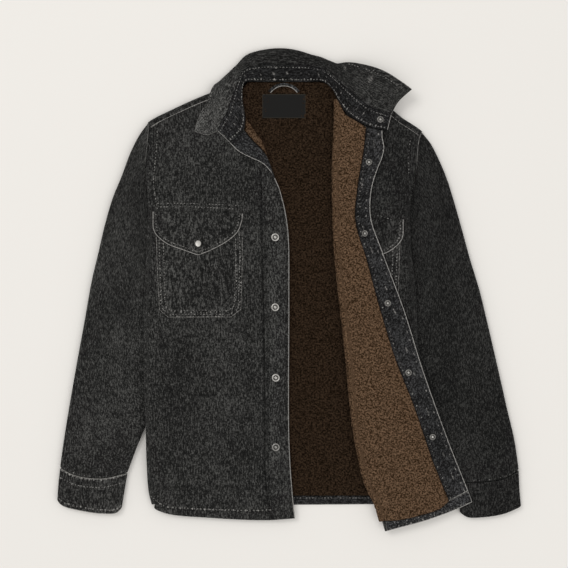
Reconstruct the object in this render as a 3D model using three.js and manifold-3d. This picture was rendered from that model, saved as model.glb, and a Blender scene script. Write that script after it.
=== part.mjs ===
// Denim shirt jacket, laid flat and open on the ground, seen from above.
// Millimetres, +Z up, +Y to the collar. The wearer's right is at -X, so the right front is at -X.
import * as THREE from 'three';
import { mergeVertices } from 'three/addons/utils/BufferGeometryUtils.js';
import Module from 'manifold-3d';

const wasm = await Module();
wasm.setup();

// ---------------------------------------------------------------------------
// Driving dimensions
// ---------------------------------------------------------------------------
const DENIM = 1.6; // shell cloth
const PILE = 4; // fleece lining
const GAP = 0.3; // between pieces that are sewn or lie together
const SEAM = 0.6; // in plan, between curved edges that are sewn together
const BAND = 1.2; // second layer of a placket or pocket
const STAND = 2.4; // stand and leaf of the collar, two layers and a stiffener
const SLEEVE = { wall: 4.5, height: 12.4 };
const CUFF = { wall: 4, height: 11 };
const SNAP = { radius: 6.8, height: 1.8 };

// Heights of the layers over the ground, or over a sleeve where the body lies on one
const LEVEL = { back: 0 };
LEVEL.backLining = LEVEL.back + DENIM + GAP;
LEVEL.frontLining = LEVEL.backLining + PILE + GAP;
LEVEL.front = LEVEL.frontLining + PILE + GAP;
LEVEL.onFront = LEVEL.front + DENIM + GAP;
LEVEL.flap = LEVEL.onFront + BAND + GAP;
LEVEL.turned = LEVEL.flap + BAND + 2 * GAP;
LEVEL.turnedLining = LEVEL.turned + DENIM + GAP;

// Radii of the cloth where it turns over, measured to its outer face
const EDGE_ROLL = (LEVEL.front + DENIM) / 2;
const FOLD_MIDDLE = (LEVEL.front + LEVEL.turned + DENIM) / 2;
const FOLD_ROLL = { shell: FOLD_MIDDLE - LEVEL.front, lining: FOLD_MIDDLE - LEVEL.frontLining };

const LOOK = {
  denim: { color: 0x3a3a3c, roughness: 0.92, metalness: 0 },
  facing: { color: 0x4b4d52, roughness: 0.92, metalness: 0 },
  fleece: { color: 0x6b4d37, roughness: 1, metalness: 0 },
  label: { color: 0x141416, roughness: 0.8, metalness: 0 },
  metal: { color: 0x8f8c86, roughness: 0.35, metalness: 1 },
};

// ---------------------------------------------------------------------------
// Lines of the pattern as it lies, [x, y], each from the hem up or from -X to +X
// ---------------------------------------------------------------------------
const RIGHT_SIDE = [
  [-226, -366], [-231, -343], [-235, -231], [-238, -130], [-237, -19], [-233, 83], [-230, 138],
];
const RIGHT_ARMHOLE = [[-230, 138], [-232, 175], [-235, 211], [-231, 253], [-229, 282]];
const LEFT_SIDE = [[226, -367], [228, -240], [227, -104], [224, -5], [216, 65], [213, 138]];
const LEFT_ARMHOLE = [[213, 138], [217, 170], [223, 202], [228, 253], [231, 268]];
const RIGHT_HEM = [
  [-226, -366], [-221, -373], [-208, -380], [-188, -385], [-133, -389.5], [-76, -393], [-26, -394],
  [19, -391],
];
const RIGHT_EDGE = [
  [19, -391], [14, -342], [9, -257], [9, -19], [8, 88], [3, 129], [-3, 155], [-8, 172], [-15, 188],
];
const RIGHT_PLACKET_SEAM = [[-19, -393], [-30, -323], [-31, -240], [-32, -87], [-35, 49], [-37.5, 205]];
const LAPEL_EDGE = [[-92, 248], [-77, 234], [-58, 224], [-37, 214], [-29, 207], [-21, 197], [-15, 188]];
const LAPEL_SEAM = [[-68, 270], [-53, 252], [-38, 237], [-30, 227], [-23, 211], [-15, 188]];
const LAPEL_ROLL = [[-64, 291], [-58, 282], [-48, 267], [-37, 252], [-29, 232], [-22, 213], [-15, 188]];
const RIGHT_NECK = [[-68, 270], [-66, 292], [-70, 318], [-71, 338]];
const RIGHT_SHOULDER = [[-222, 290], [-211, 296], [-194, 304], [-160, 320], [-124, 335], [-71, 356]];
const RIGHT_YOKE_SEAM = [[-226, 278], [-211, 288], [-194, 296.5], [-160, 312], [-129, 325], [-71, 347]];
const LEFT_SHOULDER = [[88, 357], [140, 329], [180, 308], [197, 294], [214, 283], [226, 275]];
const LEFT_YOKE_SEAM = [[88, 348], [140, 319], [180, 298.5], [197, 288], [221, 274], [230, 264]];
const BACK_HEM = [[-226, -366], [-150, -369], [19, -369], [155, -368], [226, -367]];
const FOLD = [
  [175, -411], [162, -367], [144, -328], [125, -240], [113, -121], [98, 15], [92, 83], [90, 151], [90, 219],
  [93, 287], [93, 322],
];
const TURNED_NECK = [[93, 322], [104, 297], [121, 286], [143, 275], [167, 269]];
const TURNED_EDGE = [
  [320, -362], [304, -325], [272, -240], [235, -138], [203, -36], [165, 66], [147, 120], [148, 168],
  [158, 202], [167, 224], [170, 241], [167, 258], [167, 269],
];
const TURNED_SEAM = [
  [280, -360], [252, -291], [216, -189], [189, -121], [158, -19], [140, 49], [121, 117], [124, 168],
  [135, 236], [139, 275],
];
const TURNED_HEM = [[175, -411], [197, -405], [231, -396], [265, -385], [299, -372], [320, -362]];
const TURNED_LINING_HEM = [[172, -394], [197, -392], [231, -384], [265, -373], [280, -360]];
const TURNED_FACING_HEM = [[280, -360], [313, -343]];

// Sleeves: armhole from the shoulder down, the two long edges and the cuff seam
const SLEEVES = {
  right: {
    armhole: [[-230, 285], [-232, 253], [-235.8, 211], [-232.8, 175], [-231, 140], [-218, 106], [-178, 88]],
    outer: [
      [-230, 285], [-244.5, 266], [-260.5, 236], [-278, 190], [-292, 156], [-305, 112], [-317, 61],
      [-328, 14], [-340, -53], [-358.5, -155], [-375.5, -257], [-382, -304],
    ],
    inner: [[-178, 88], [-180, 20], [-195, -80], [-215, -170], [-235, -231], [-251, -270], [-267, -313]],
    seam: [[-382, -304], [-355, -317], [-311, -322], [-267, -313]],
    end: [[-387, -361], [-377, -370], [-347, -378], [-313, -383], [-286, -382], [-277, -374]],
    cuffOuter: [[-382, -305], [-385, -332], [-387, -361]],
    cuffInner: [[-267, -314], [-272, -343], [-277, -374]],
  },
  left: {
    armhole: [[234, 268], [229.2, 253], [224.2, 202], [218.2, 170], [214.2, 140], [202, 106], [172, 88]],
    outer: [
      [234, 268], [249.5, 249], [264, 221], [277.5, 189], [289.5, 151], [304, 100], [318, 49],
      [333.5, -2], [346, -53], [369.5, -155], [381, -206], [393, -257], [400.5, -308],
    ],
    inner: [[172, 88], [180, 20], [200, -80], [225, -170], [250, -231], [275, -280], [300, -330]],
    seam: [[400.5, -308], [376, -322], [342, -328], [300, -330]],
    end: [[404.5, -371], [376, -383], [342, -389], [313, -389], [300, -381]],
    cuffOuter: [[400.5, -309], [402, -342], [404.5, -371]],
    cuffInner: [[300, -331], [299.5, -355], [300, -381]],
  },
};

// The collar, a row for each section from the right end to the left end:
// neck seam, seam of the leaf, roll of the leaf, free edge, and how far the leaf opens at its roll
const COLLAR = [
  { neck: [-92, 249, 13.9], seam: [-113, 269, 14], roll: [-131, 262, 14], edge: [-152, 268, 14], open: 0 },
  { neck: [-81, 258, 13.9], seam: [-107, 283, 14], roll: [-130, 277, 14.5], edge: [-149, 281, 14], open: 0 },
  { neck: [-69, 272, 13.9], seam: [-97, 301, 14.5], roll: [-121, 300, 15.5], edge: [-141, 301, 14], open: 0 },
  { neck: [-66, 292, 13.9], seam: [-91, 318, 15], roll: [-115, 322, 15.5], edge: [-131, 319, 14.4], open: 0 },
  { neck: [-70, 314, 13.9], seam: [-84, 337, 15], roll: [-112, 346, 14.6], edge: [-119, 346, 13.2], open: 1 },
  { neck: [-71, 335, 13.9], seam: [-77, 356, 15], roll: [-101, 361, 8], edge: [-93, 357, 2.5], open: 7 },
  { neck: [-66, 352, 13.9], seam: [-68, 373, 14], roll: [-84, 378, 7], edge: [-76, 372, 1.6], open: 8 },
  { neck: [-38, 353, 10], seam: [-42, 381.5, 12], roll: [-58, 401, 6], edge: [-48, 370, 1.6], open: 7 },
  { neck: [0, 353.3, 7.6], seam: [0, 382.5, 9.5], roll: [0, 409, 5.4], edge: [0, 362, 1.6], open: 6 },
  { neck: [38, 353, 9], seam: [40, 381, 10.5], roll: [47, 399, 5.6], edge: [40, 366, 1.6], open: 6 },
  { neck: [66, 352.5, 13.4], seam: [67, 374, 14], roll: [76, 389, 8], edge: [72, 376, 3], open: 7 },
  { neck: [83, 338, 16], seam: [88, 358, 16.5], roll: [99, 377, 14.5], edge: [104, 385.5, 12], open: 1 },
  { neck: [92, 318, 24.2], seam: [107, 340, 21], roll: [121, 361, 22], edge: [137, 381, 20], open: 0 },
  { neck: [106, 299, 24], seam: [126, 324, 24], roll: [146, 347, 27], edge: [170, 369, 27], open: 0 },
  { neck: [124, 286, 22.5], seam: [146, 308, 25], roll: [170, 333, 30], edge: [199, 350, 32], open: 0 },
  { neck: [150, 274, 21.5], seam: [166, 301, 24.5], roll: [188, 322, 29], edge: [215, 338, 33], open: 0 },
  { neck: [176, 270, 21], seam: [182, 296, 23], roll: [194, 317, 28], edge: [216, 337, 33], open: 0 },
];

// The right pocket and its flap, from the upper corner at the sleeve round by the bottom; the left
// ones are their mirror image, shifted
const POCKET_RIGHT = [
  [-217, 100], [-214, 15], [-211, -35], [-196, -48], [-90, -48], [-73, -35], [-70, 54], [-71, 100],
];
const FLAP_RIGHT = [
  [-222, 131], [-222, 105], [-218, 94], [-199, 77], [-168, 65], [-146, 57], [-126, 65], [-95, 82], [-78, 98],
  [-71, 117], [-70, 129],
];
const POCKET_SHIFT = { x: -20, y: -13 };
const NECK_LABEL = { x: 0, y: 312, width: 74, height: 41, thickness: 0.8 };
const LOOP = { y: 318, inner: 28, outer: 33, thickness: 1.6, from: 0.2 * Math.PI, to: 0.8 * Math.PI };
const STUDS = [[-15, 88], [-15, -31], [-14, -151], [-14, -269]];
const STAND_SOCKET = { place: [163, 287], height: 24.6 };
const FLAP_CAP = [-146, 77];
const SOCKETS = [[144, 215], [137, 94], [175, -24], [210, -141], [251, -250]];

// ---------------------------------------------------------------------------
// Curves and heights
// ---------------------------------------------------------------------------
const ramp = (from, to, value) => THREE.MathUtils.smoothstep(value, from, to);
const shift = (line, dx, dy) => line.map(([x, y]) => [x + dx, y + dy]);
const reversed = (line) => [...line].reverse();

// The part of a line that runs up, above a height.
function above(line, height) {
  const next = line.findIndex(([, y]) => y > height);
  const [[x0, y0], [x1, y1]] = [line[next - 1], line[next]];
  return [[THREE.MathUtils.mapLinear(height, y0, y1, x0, x1), height], ...line.slice(next)];
}

// The part of a line that runs up, below a height.
function below(line, height) {
  const next = line.findIndex(([, y]) => y > height);
  const [[x0, y0], [x1, y1]] = [line[next - 1], line[next]];
  return [...line.slice(0, next), [THREE.MathUtils.mapLinear(height, y0, y1, x0, x1), height]];
}

function spline(points) {
  const vectors = points.map(([x, y, z = 0]) => new THREE.Vector3(x, y, z));
  return new THREE.CatmullRomCurve3(vectors, false, 'centripetal');
}

// Points along a smooth line, a step apart.
function trace(line, step = 30) {
  if (line.length === 2) return line;
  const curve = spline(line);
  const count = Math.max(2, Math.round(curve.getLength() / step));
  return curve.getSpacedPoints(count).map((p) => [p.x, p.y]);
}

// One closed outline from lines that meet end to end, without doubled or idle points.
function outline(...lines) {
  const points = lines.flatMap((line) => trace(line));
  const apart = points.filter(([x, y], i) => {
    const [px, py] = points.at(i - 1);
    return Math.hypot(x - px, y - py) > 0.8;
  });
  return apart.filter(([x, y], i) => {
    const [[ax, ay], [bx, by]] = [apart.at(i - 1), apart[(i + 1) % apart.length]];
    const bend = (x - ax) * (by - ay) - (y - ay) * (bx - ax);
    return Math.abs(bend) > 0.02 * Math.hypot(bx - ax, by - ay);
  });
}

// The distance of a line from the Y axis at a height y, for a line that runs down.
function distanceAt(line, y) {
  const below = line.findIndex((point) => point[1] <= y);
  if (below === 0) return Math.abs(line[0][0]);
  if (below < 0) return Math.abs(line.at(-1)[0]);
  const [[x0, y0], [x1, y1]] = [line[below - 1], line[below]];
  return Math.abs(THREE.MathUtils.mapLinear(y, y0, y1, x0, x1));
}

const hiddenEdge = (side) => [...side.inner, ...side.cuffInner.slice(1)];

// How far the body is lifted where it lies on a sleeve.
function bodyRise(x, y) {
  const side = x < 0 ? SLEEVES.right : SLEEVES.left;
  const over = Math.abs(x) - distanceAt(hiddenEdge(side), y);
  return (SLEEVE.height + GAP) * ramp(-54, -16, over) * (1 - ramp(169, 230, y));
}

// The right front sinks a little where it runs past the back's hem.
const frontRise = (x, y) => bodyRise(x, y) - 5 * (1 - ramp(-420, -378, y));

// The turned front leaves the body's edge and comes down on the sleeve.
function turnedRise(x, y) {
  const onSleeve = SLEEVE.height + 2 * GAP - LEVEL.turned;
  return THREE.MathUtils.lerp(bodyRise(Math.min(x, 232), y), onSleeve, ramp(238, 305, x));
}

// ---------------------------------------------------------------------------
// A lattice that all layers of the body share, so that their facets lie alike
// ---------------------------------------------------------------------------
const steps = (from, to, step) =>
  Array.from({ length: Math.round((to - from) / step) + 1 }, (_, i) => from + i * step);
const LATTICE = {
  xs: [...steps(-250, -98, 19), -40, 20, ...steps(80, 327, 19)],
  ys: steps(-420, 420, 42),
};

// The height of a field on the lattice's facets.
function facetHeight(field, x, y) {
  const { xs, ys } = LATTICE;
  const i = THREE.MathUtils.clamp(xs.findIndex((value) => value > x) - 1, 0, xs.length - 2);
  const j = THREE.MathUtils.clamp(ys.findIndex((value) => value > y) - 1, 0, ys.length - 2);
  const s = (x - xs[i]) / (xs[i + 1] - xs[i]);
  const t = (y - ys[j]) / (ys[j + 1] - ys[j]);
  const [z00, z10] = [field(xs[i], ys[j]), field(xs[i + 1], ys[j])];
  const [z01, z11] = [field(xs[i], ys[j + 1]), field(xs[i + 1], ys[j + 1])];
  return s > t ? z00 + s * (z10 - z00) + t * (z11 - z10) : z00 + t * (z01 - z00) + s * (z11 - z01);
}

// A closed wall between an inner and an outer grid of points, closed round its columns if told so.
function wallGeometry(columns, rows, pointAt, closed = false) {
  const width = closed ? columns : columns + 1;
  const positions = [];
  for (const side of [0, 1]) {
    for (let j = 0; j <= rows; j += 1) {
      for (let i = 0; i < width; i += 1) positions.push(...pointAt(i / columns, j / rows, side));
    }
  }
  const at = (i, j, side) => side * width * (rows + 1) + j * width + (i % width);
  const faces = [];
  const quad = (a, b, c, d) => faces.push(a, b, c, a, c, d);
  for (let j = 0; j < rows; j += 1) {
    for (let i = 0; i < columns; i += 1) {
      quad(at(i, j, 1), at(i + 1, j, 1), at(i + 1, j + 1, 1), at(i, j + 1, 1));
      quad(at(i, j, 0), at(i, j + 1, 0), at(i + 1, j + 1, 0), at(i + 1, j, 0));
    }
  }
  for (let i = 0; i < columns; i += 1) {
    quad(at(i, 0, 0), at(i + 1, 0, 0), at(i + 1, 0, 1), at(i, 0, 1));
    quad(at(i, rows, 1), at(i + 1, rows, 1), at(i + 1, rows, 0), at(i, rows, 0));
  }
  for (let j = 0; j < rows && !closed; j += 1) {
    quad(at(0, j, 1), at(0, j + 1, 1), at(0, j + 1, 0), at(0, j, 0));
    quad(at(columns, j, 0), at(columns, j + 1, 0), at(columns, j + 1, 1), at(columns, j, 1));
  }
  const geometry = new THREE.BufferGeometry();
  geometry.setAttribute('position', new THREE.Float32BufferAttribute(positions, 3));
  geometry.setIndex(facingOut(positions, faces));
  return geometry;
}

// Turns all faces round when their signed volume is negative.
function facingOut(positions, faces) {
  const corner = (k) => new THREE.Vector3().fromArray(positions, faces[k] * 3);
  let volume = 0;
  for (let k = 0; k < faces.length; k += 3) {
    volume += corner(k).dot(corner(k + 1).cross(corner(k + 2)));
  }
  return volume > 0 ? faces : faces.reverse();
}

// ---------------------------------------------------------------------------
// Booleans
// ---------------------------------------------------------------------------
function toSolid(geometry) {
  const bare = geometry.clone();
  bare.deleteAttribute('normal');
  bare.deleteAttribute('uv');
  const merged = mergeVertices(bare, 1e-4);
  return new wasm.Manifold(new wasm.Mesh({
    numProp: 3,
    vertProperties: new Float32Array(merged.attributes.position.array),
    triVerts: new Uint32Array(merged.index.array),
  }));
}

function toGeometry(solid) {
  const mesh = solid.getMesh();
  const geometry = new THREE.BufferGeometry();
  geometry.setAttribute('position', new THREE.Float32BufferAttribute(mesh.vertProperties, 3));
  geometry.setIndex([...mesh.triVerts]);
  return geometry;
}

function prism(points) {
  const shape = new THREE.Shape(points.map(([x, y]) => new THREE.Vector2(x, y)));
  const geometry = new THREE.ExtrudeGeometry(shape, { depth: 120, bevelEnabled: false });
  return toSolid(geometry.translate(0, 0, -20));
}

// A layer of cloth: the shared lattice moved out to its level and cut to its outline.
function layer(points, rise, level, thickness) {
  const { xs, ys } = LATTICE;
  const slab = wallGeometry(xs.length - 1, ys.length - 1, (u, v, side) => {
    const x = xs[Math.round(u * (xs.length - 1))];
    const y = ys[Math.round(v * (ys.length - 1))];
    return [x, y, rise(x, y) + level + side * thickness];
  });
  return toSolid(slab).intersect(prism(points));
}

// Cloth that turns over along a line: half a pipe with a short tail above and below.
function roll(points, away, { outer, thickness, middle, rise, tails }) {
  const path = points.map(([x, y]) => new THREE.Vector2(x, y));
  const arcs = 5;
  return toSolid(wallGeometry(arcs + 2, path.length - 1, (u, v, side) => {
    const j = Math.round(v * (path.length - 1));
    const along = path[Math.min(j + 1, path.length - 1)].clone().sub(path[Math.max(j - 1, 0)]).normalize();
    const out = new THREE.Vector2(along.y, -along.x).multiplyScalar(away);
    const i = Math.round(u * (arcs + 2)) - 1;
    const angle = THREE.MathUtils.clamp(i / arcs, 0, 1) * Math.PI - Math.PI / 2;
    const radius = outer - (1 - side) * thickness;
    const tail = i < 0 ? tails[0] : i > arcs ? tails[1] : 0;
    const reach = radius * Math.cos(angle) - tail;
    const { x, y } = path[j].clone().addScaledVector(out, reach);
    return [x, y, facetHeight(rise, x, y) + middle + radius * Math.sin(angle)];
  }));
}

const union = (...solids) => solids.reduce((whole, solid) => whole.add(solid));

// ---------------------------------------------------------------------------
// Meshes
// ---------------------------------------------------------------------------
const jacket = new THREE.Group();

function addPiece(name, look, geometry) {
  const material = new THREE.MeshStandardMaterial(LOOK[look]);
  const mesh = new THREE.Mesh(geometry, material);
  mesh.name = name;
  jacket.add(mesh);
  return mesh;
}

// A piece of cloth, freed of the facets that its flat stretches don't need.
function addCloth(name, look, solid) {
  return addPiece(name, look, toGeometry(toSolid(toGeometry(solid)).simplify(0.06)));
}

// ---------------------------------------------------------------------------
// Back
// ---------------------------------------------------------------------------
const YOKE_SEAM_Y = 205;
const SIDE_TUCK = EDGE_ROLL + 2 * SEAM; // where the back ends, beside the front that wraps round it
const LINING_TUCK = EDGE_ROLL + 2;
const LINING_TOP = 352; // just under the collar stand
const HEM_TOP = { back: -353, right: [-360, -368], left: [-352, -393] }; // lower ends of the fleece
const UNDER_YOKE = { shell: -2.2, lining: -9 }; // how far the fronts stop below the yoke's seams
const TAIL = 1.5; // flat cloth at the ends of a roll
const ARMPIT_Y = 140;
const SIDE_ZONE = 200; // beyond this distance from the middle the back's hem is tucked in
const EDGE_WRAP = { outer: EDGE_ROLL, thickness: DENIM, middle: EDGE_ROLL, tails: [0, TAIL] };

function addBack() {
  const panel = outline(
    BACK_HEM.map(([x, y]) => [x - Math.sign(x) * (Math.abs(x) > SIDE_ZONE ? SIDE_TUCK : 0), y]),
    shift(LEFT_SIDE, -SIDE_TUCK, 0),
    shift(below(above(LEFT_ARMHOLE, ARMPIT_Y), YOKE_SEAM_Y - GAP), -1, 0),
    reversed(shift(below(above(RIGHT_ARMHOLE, ARMPIT_Y), YOKE_SEAM_Y - GAP), 1, 0)),
    reversed(shift(RIGHT_SIDE, SIDE_TUCK, 0)),
  );
  addCloth('back_panel', 'denim', layer(panel, bodyRise, LEVEL.back, DENIM));

  const shoulders = [...shift(RIGHT_SHOULDER, 0, -EDGE_ROLL), ...shift(LEFT_SHOULDER, 0, -EDGE_ROLL)];
  const yoke = outline(
    shift(above(LEFT_ARMHOLE, YOKE_SEAM_Y).slice(0, -1), -1, 0),
    reversed(shoulders),
    reversed(shift(above(RIGHT_ARMHOLE, YOKE_SEAM_Y).slice(0, -1), 1, 0)),
  );
  const rollSize = { ...EDGE_WRAP, rise: bodyRise, tails: [TAIL, 0.6] };
  const yokeSolid = union(
    layer(yoke, bodyRise, LEVEL.back, DENIM),
    roll(trace(shift(RIGHT_SHOULDER, 0, -EDGE_ROLL)), -1, rollSize),
    roll(trace(shift(LEFT_SHOULDER, 0, -EDGE_ROLL)), -1, rollSize),
  );
  addCloth('back_yoke', 'denim', yokeSolid);

  const slope = (line) => shift(line, 0, -LINING_TUCK - 3);
  const lining = outline(
    above(shift([...LEFT_SIDE, ...LEFT_ARMHOLE.slice(1, -1)], -LINING_TUCK, 0), HEM_TOP.back),
    reversed(slope(LEFT_SHOULDER.slice(0, -1))),
    [[78, LINING_TOP], [-62, LINING_TOP]],
    reversed(slope(RIGHT_SHOULDER.slice(1))),
    reversed(above(shift([...RIGHT_SIDE, ...RIGHT_ARMHOLE.slice(1, -1)], LINING_TUCK, 0), HEM_TOP.back)),
  );
  addCloth('back_lining', 'fleece', layer(lining, bodyRise, LEVEL.backLining, PILE));
  const hem = outline([[-215, -367], [218, -367]], [[218, HEM_TOP.back - GAP], [-215, HEM_TOP.back - GAP]]);
  addCloth('back_hem_facing', 'facing', layer(hem, bodyRise, LEVEL.backLining, DENIM));
}

// ---------------------------------------------------------------------------
// Right front, at -X: closed over the back, its top corner turned out
// ---------------------------------------------------------------------------
function addRightFront() {
  const shell = outline(
    [[-226 + EDGE_ROLL, -366], ...RIGHT_HEM.slice(1)],
    RIGHT_EDGE,
    reversed(LAPEL_SEAM),
    RIGHT_NECK,
    reversed(shift(RIGHT_YOKE_SEAM, 0, UNDER_YOKE.shell)),
    reversed(RIGHT_ARMHOLE),
    reversed(shift(RIGHT_SIDE, EDGE_ROLL, 0)),
  );
  const side = roll(trace(shift(RIGHT_SIDE, EDGE_ROLL, 0)), -1, { ...EDGE_WRAP, rise: frontRise });
  addCloth('front_right', 'denim', union(layer(shell, frontRise, LEVEL.front, DENIM), side));

  const lining = outline(
    above(shift(RIGHT_EDGE, -4, 0), HEM_TOP.right[1]),
    reversed(LAPEL_ROLL),
    RIGHT_NECK.slice(1, -1),
    reversed(shift(RIGHT_YOKE_SEAM.slice(1), 0, -LINING_TUCK)),
    reversed(
      above(shift([...RIGHT_SIDE, ...RIGHT_ARMHOLE.slice(1, -1)], LINING_TUCK, 0), HEM_TOP.right[0]),
    ),
  );
  const strip = outline(shift(LAPEL_SEAM, 2 * SEAM, 0).slice(0, 4), reversed(LAPEL_ROLL.slice(0, 5)));
  addCloth('front_right_lining', 'fleece', union(
    layer(lining, frontRise, LEVEL.frontLining, PILE),
    layer(strip, frontRise, LEVEL.frontLining, LEVEL.onFront + DENIM - LEVEL.frontLining),
  ));

  const placket = outline(
    RIGHT_HEM.slice(-2).map(([x, y]) => [Math.max(x, -19), y + GAP]),
    shift(RIGHT_EDGE, -GAP, 0),
    reversed(shift(LAPEL_EDGE.slice(4, -1), -3 * SEAM, -2 * SEAM)),
    reversed(RIGHT_PLACKET_SEAM),
  );
  addCloth('front_right_placket', 'denim', layer(placket, frontRise, LEVEL.onFront, BAND));
  const facing = outline(
    LAPEL_EDGE.slice(0, -1),
    reversed(LAPEL_SEAM.slice(0, -1)),
    [[-68, 270], [-81, 258], [-92, 248]],
  );
  addCloth('front_right_facing', 'facing', layer(facing, frontRise, LEVEL.onFront, DENIM));
}

// ---------------------------------------------------------------------------
// Left front, at +X: turned back on itself along a slanted fold
// ---------------------------------------------------------------------------
function addLeftFront() {
  const shell = outline(
    [[226 - EDGE_ROLL, -370], FOLD[0]],
    FOLD,
    shift(LEFT_YOKE_SEAM, 0, UNDER_YOKE.shell),
    reversed(LEFT_ARMHOLE).slice(1),
    reversed(shift(LEFT_SIDE, -EDGE_ROLL, 0)),
  );
  const pileUnder = outline(
    above(FOLD, HEM_TOP.left[1]),
    shift(LEFT_YOKE_SEAM, 0, UNDER_YOKE.lining),
    reversed(shift(LEFT_ARMHOLE, -LINING_TUCK, 0)).slice(1),
    reversed(above(shift(LEFT_SIDE, -LINING_TUCK, 0), HEM_TOP.left[0])),
  );
  const over = outline(TURNED_HEM, TURNED_EDGE, reversed(TURNED_NECK), reversed(FOLD));
  const foldPath = trace(FOLD, 45);
  const fold = { middle: FOLD_MIDDLE, rise: bodyRise, tails: [TAIL, TAIL] };
  const side = roll(trace(shift(LEFT_SIDE, -EDGE_ROLL, 0)), 1, { ...EDGE_WRAP, rise: bodyRise });
  addCloth('front_left', 'denim', union(
    layer(shell, bodyRise, LEVEL.front, DENIM),
    side,
    roll(foldPath, -1, { ...fold, outer: FOLD_ROLL.shell, thickness: DENIM }),
    layer(over, turnedRise, LEVEL.turned, DENIM),
  ));

  const pile = outline(
    TURNED_LINING_HEM,
    TURNED_SEAM,
    reversed(TURNED_NECK.slice(0, -1)),
    reversed(FOLD.slice(1)),
  );
  addCloth('front_left_lining', 'fleece', union(
    layer(pileUnder, bodyRise, LEVEL.frontLining, PILE),
    roll(above(foldPath, HEM_TOP.left[1]), -1, { ...fold, outer: FOLD_ROLL.lining, thickness: PILE - GAP }),
    layer(pile, turnedRise, LEVEL.turnedLining, PILE),
  ));

  const facing = outline(
    TURNED_FACING_HEM,
    [[313, -343], ...TURNED_EDGE.slice(2)],
    reversed(TURNED_NECK.slice(-2)).map(([x, y]) => [Math.max(x, 140), y]),
    reversed(shift(TURNED_SEAM, SEAM, 0)),
  );
  addCloth('front_left_facing', 'facing', layer(facing, turnedRise, LEVEL.turnedLining, DENIM));
  const hem = outline(
    TURNED_HEM,
    [[320, -362], [313.4, -344]],
    reversed(shift(TURNED_FACING_HEM, 0, -SEAM)),
    reversed(shift(TURNED_LINING_HEM, 0, -SEAM)),
  );
  addCloth('front_left_hem_facing', 'facing', layer(hem, turnedRise, LEVEL.turnedLining, DENIM));
}

// ---------------------------------------------------------------------------
// Pockets with flaps
// ---------------------------------------------------------------------------
function addPocket(side, place, area) {
  const pocket = place(POCKET_RIGHT);
  const flap = [...place(FLAP_RIGHT.slice(0, 2)), ...trace(place(FLAP_RIGHT.slice(1, 6)), 16).slice(1),
    ...trace(place(FLAP_RIGHT.slice(5, 10)), 16).slice(1), ...place(FLAP_RIGHT.slice(10))];
  addCloth(`pocket_${side}`, 'denim', layer(pocket, frontRise, LEVEL.onFront, BAND).intersect(area));
  addCloth(`flap_${side}`, 'denim', layer(flap, frontRise, LEVEL.flap, BAND).intersect(area));
}

// ---------------------------------------------------------------------------
// Sleeves and cuffs: flattened tubes, open at both ends
// ---------------------------------------------------------------------------
function tubeGeometry({ start, end, outer, inner, wall, height, columns, rows }) {
  const edges = { start: spline(start), end: spline(end), outer: spline(outer), inner: spline(inner) };
  const patch = (u, v) => {
    const corner = (a, b) => new THREE.Vector3(...(a ? end : start).at(b ? -1 : 0), 0);
    return new THREE.Vector3()
      .addScaledVector(edges.start.getPointAt(u), 1 - v)
      .addScaledVector(edges.end.getPointAt(u), v)
      .addScaledVector(edges.outer.getPointAt(v), 1 - u)
      .addScaledVector(edges.inner.getPointAt(v), u)
      .addScaledVector(corner(0, 0), -(1 - u) * (1 - v))
      .addScaledVector(corner(0, 1), -u * (1 - v))
      .addScaledVector(corner(1, 0), -(1 - u) * v)
      .addScaledVector(corner(1, 1), -u * v);
  };
  const arcs = 3;
  const half = height / 2;
  const ring = [];
  for (const [edge, sign] of [[0, 1], [1, -1]]) {
    for (let k = 0; k <= arcs; k += 1) {
      const angle = sign * (Math.PI * (k / arcs) - Math.PI / 2);
      ring.push({ edge, cos: Math.cos(angle), sin: Math.sin(angle) });
    }
    for (let k = 1; k < columns; k += 1) {
      ring.push({ across: edge ? 1 - k / columns : k / columns, sin: sign });
    }
  }
  return wallGeometry(ring.length, rows, (s, v, side) => {
    const { edge, across, cos, sin } = ring[Math.round(s * ring.length) % ring.length];
    const radius = half - (1 - side) * wall;
    const width = patch(0, v).distanceTo(patch(1, v));
    const inset = (half - radius * (cos ?? 0)) / width;
    const flat = THREE.MathUtils.lerp(half / width, 1 - half / width, across ?? 0);
    const u = across === undefined ? Math.abs(edge - inset) : flat;
    const { x, y } = patch(u, v);
    return [x, y, half + radius * sin];
  }, true);
}

function addSleeve(side) {
  const { armhole, outer, inner, seam, end, cuffOuter, cuffInner } = SLEEVES[side];
  addPiece(`sleeve_${side}`, 'denim', tubeGeometry({
    start: armhole, end: seam, outer, inner, ...SLEEVE, columns: 6, rows: 16,
  }));
  addPiece(`cuff_${side}`, 'denim', tubeGeometry({
    start: shift(seam, 0, -1), end, outer: cuffOuter, inner: cuffInner, ...CUFF, columns: 5, rows: 2,
  }));
}

// ---------------------------------------------------------------------------
// Collar: stand and leaf, each a wall across its sections
// ---------------------------------------------------------------------------
function swept(pathAt, columns, rows, thickness) {
  const step = 1e-3;
  const point = (u, v) => pathAt(THREE.MathUtils.clamp(u, 0, 1), THREE.MathUtils.clamp(v, 0, 1));
  return wallGeometry(columns, rows, (u, v, side) => {
    const across = point(u + step, v).sub(point(u - step, v));
    const along = point(u, v + step).sub(point(u, v - step));
    const normal = across.cross(along).normalize();
    return point(u, v).addScaledVector(normal, (side - 0.5) * thickness).toArray();
  });
}

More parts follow.
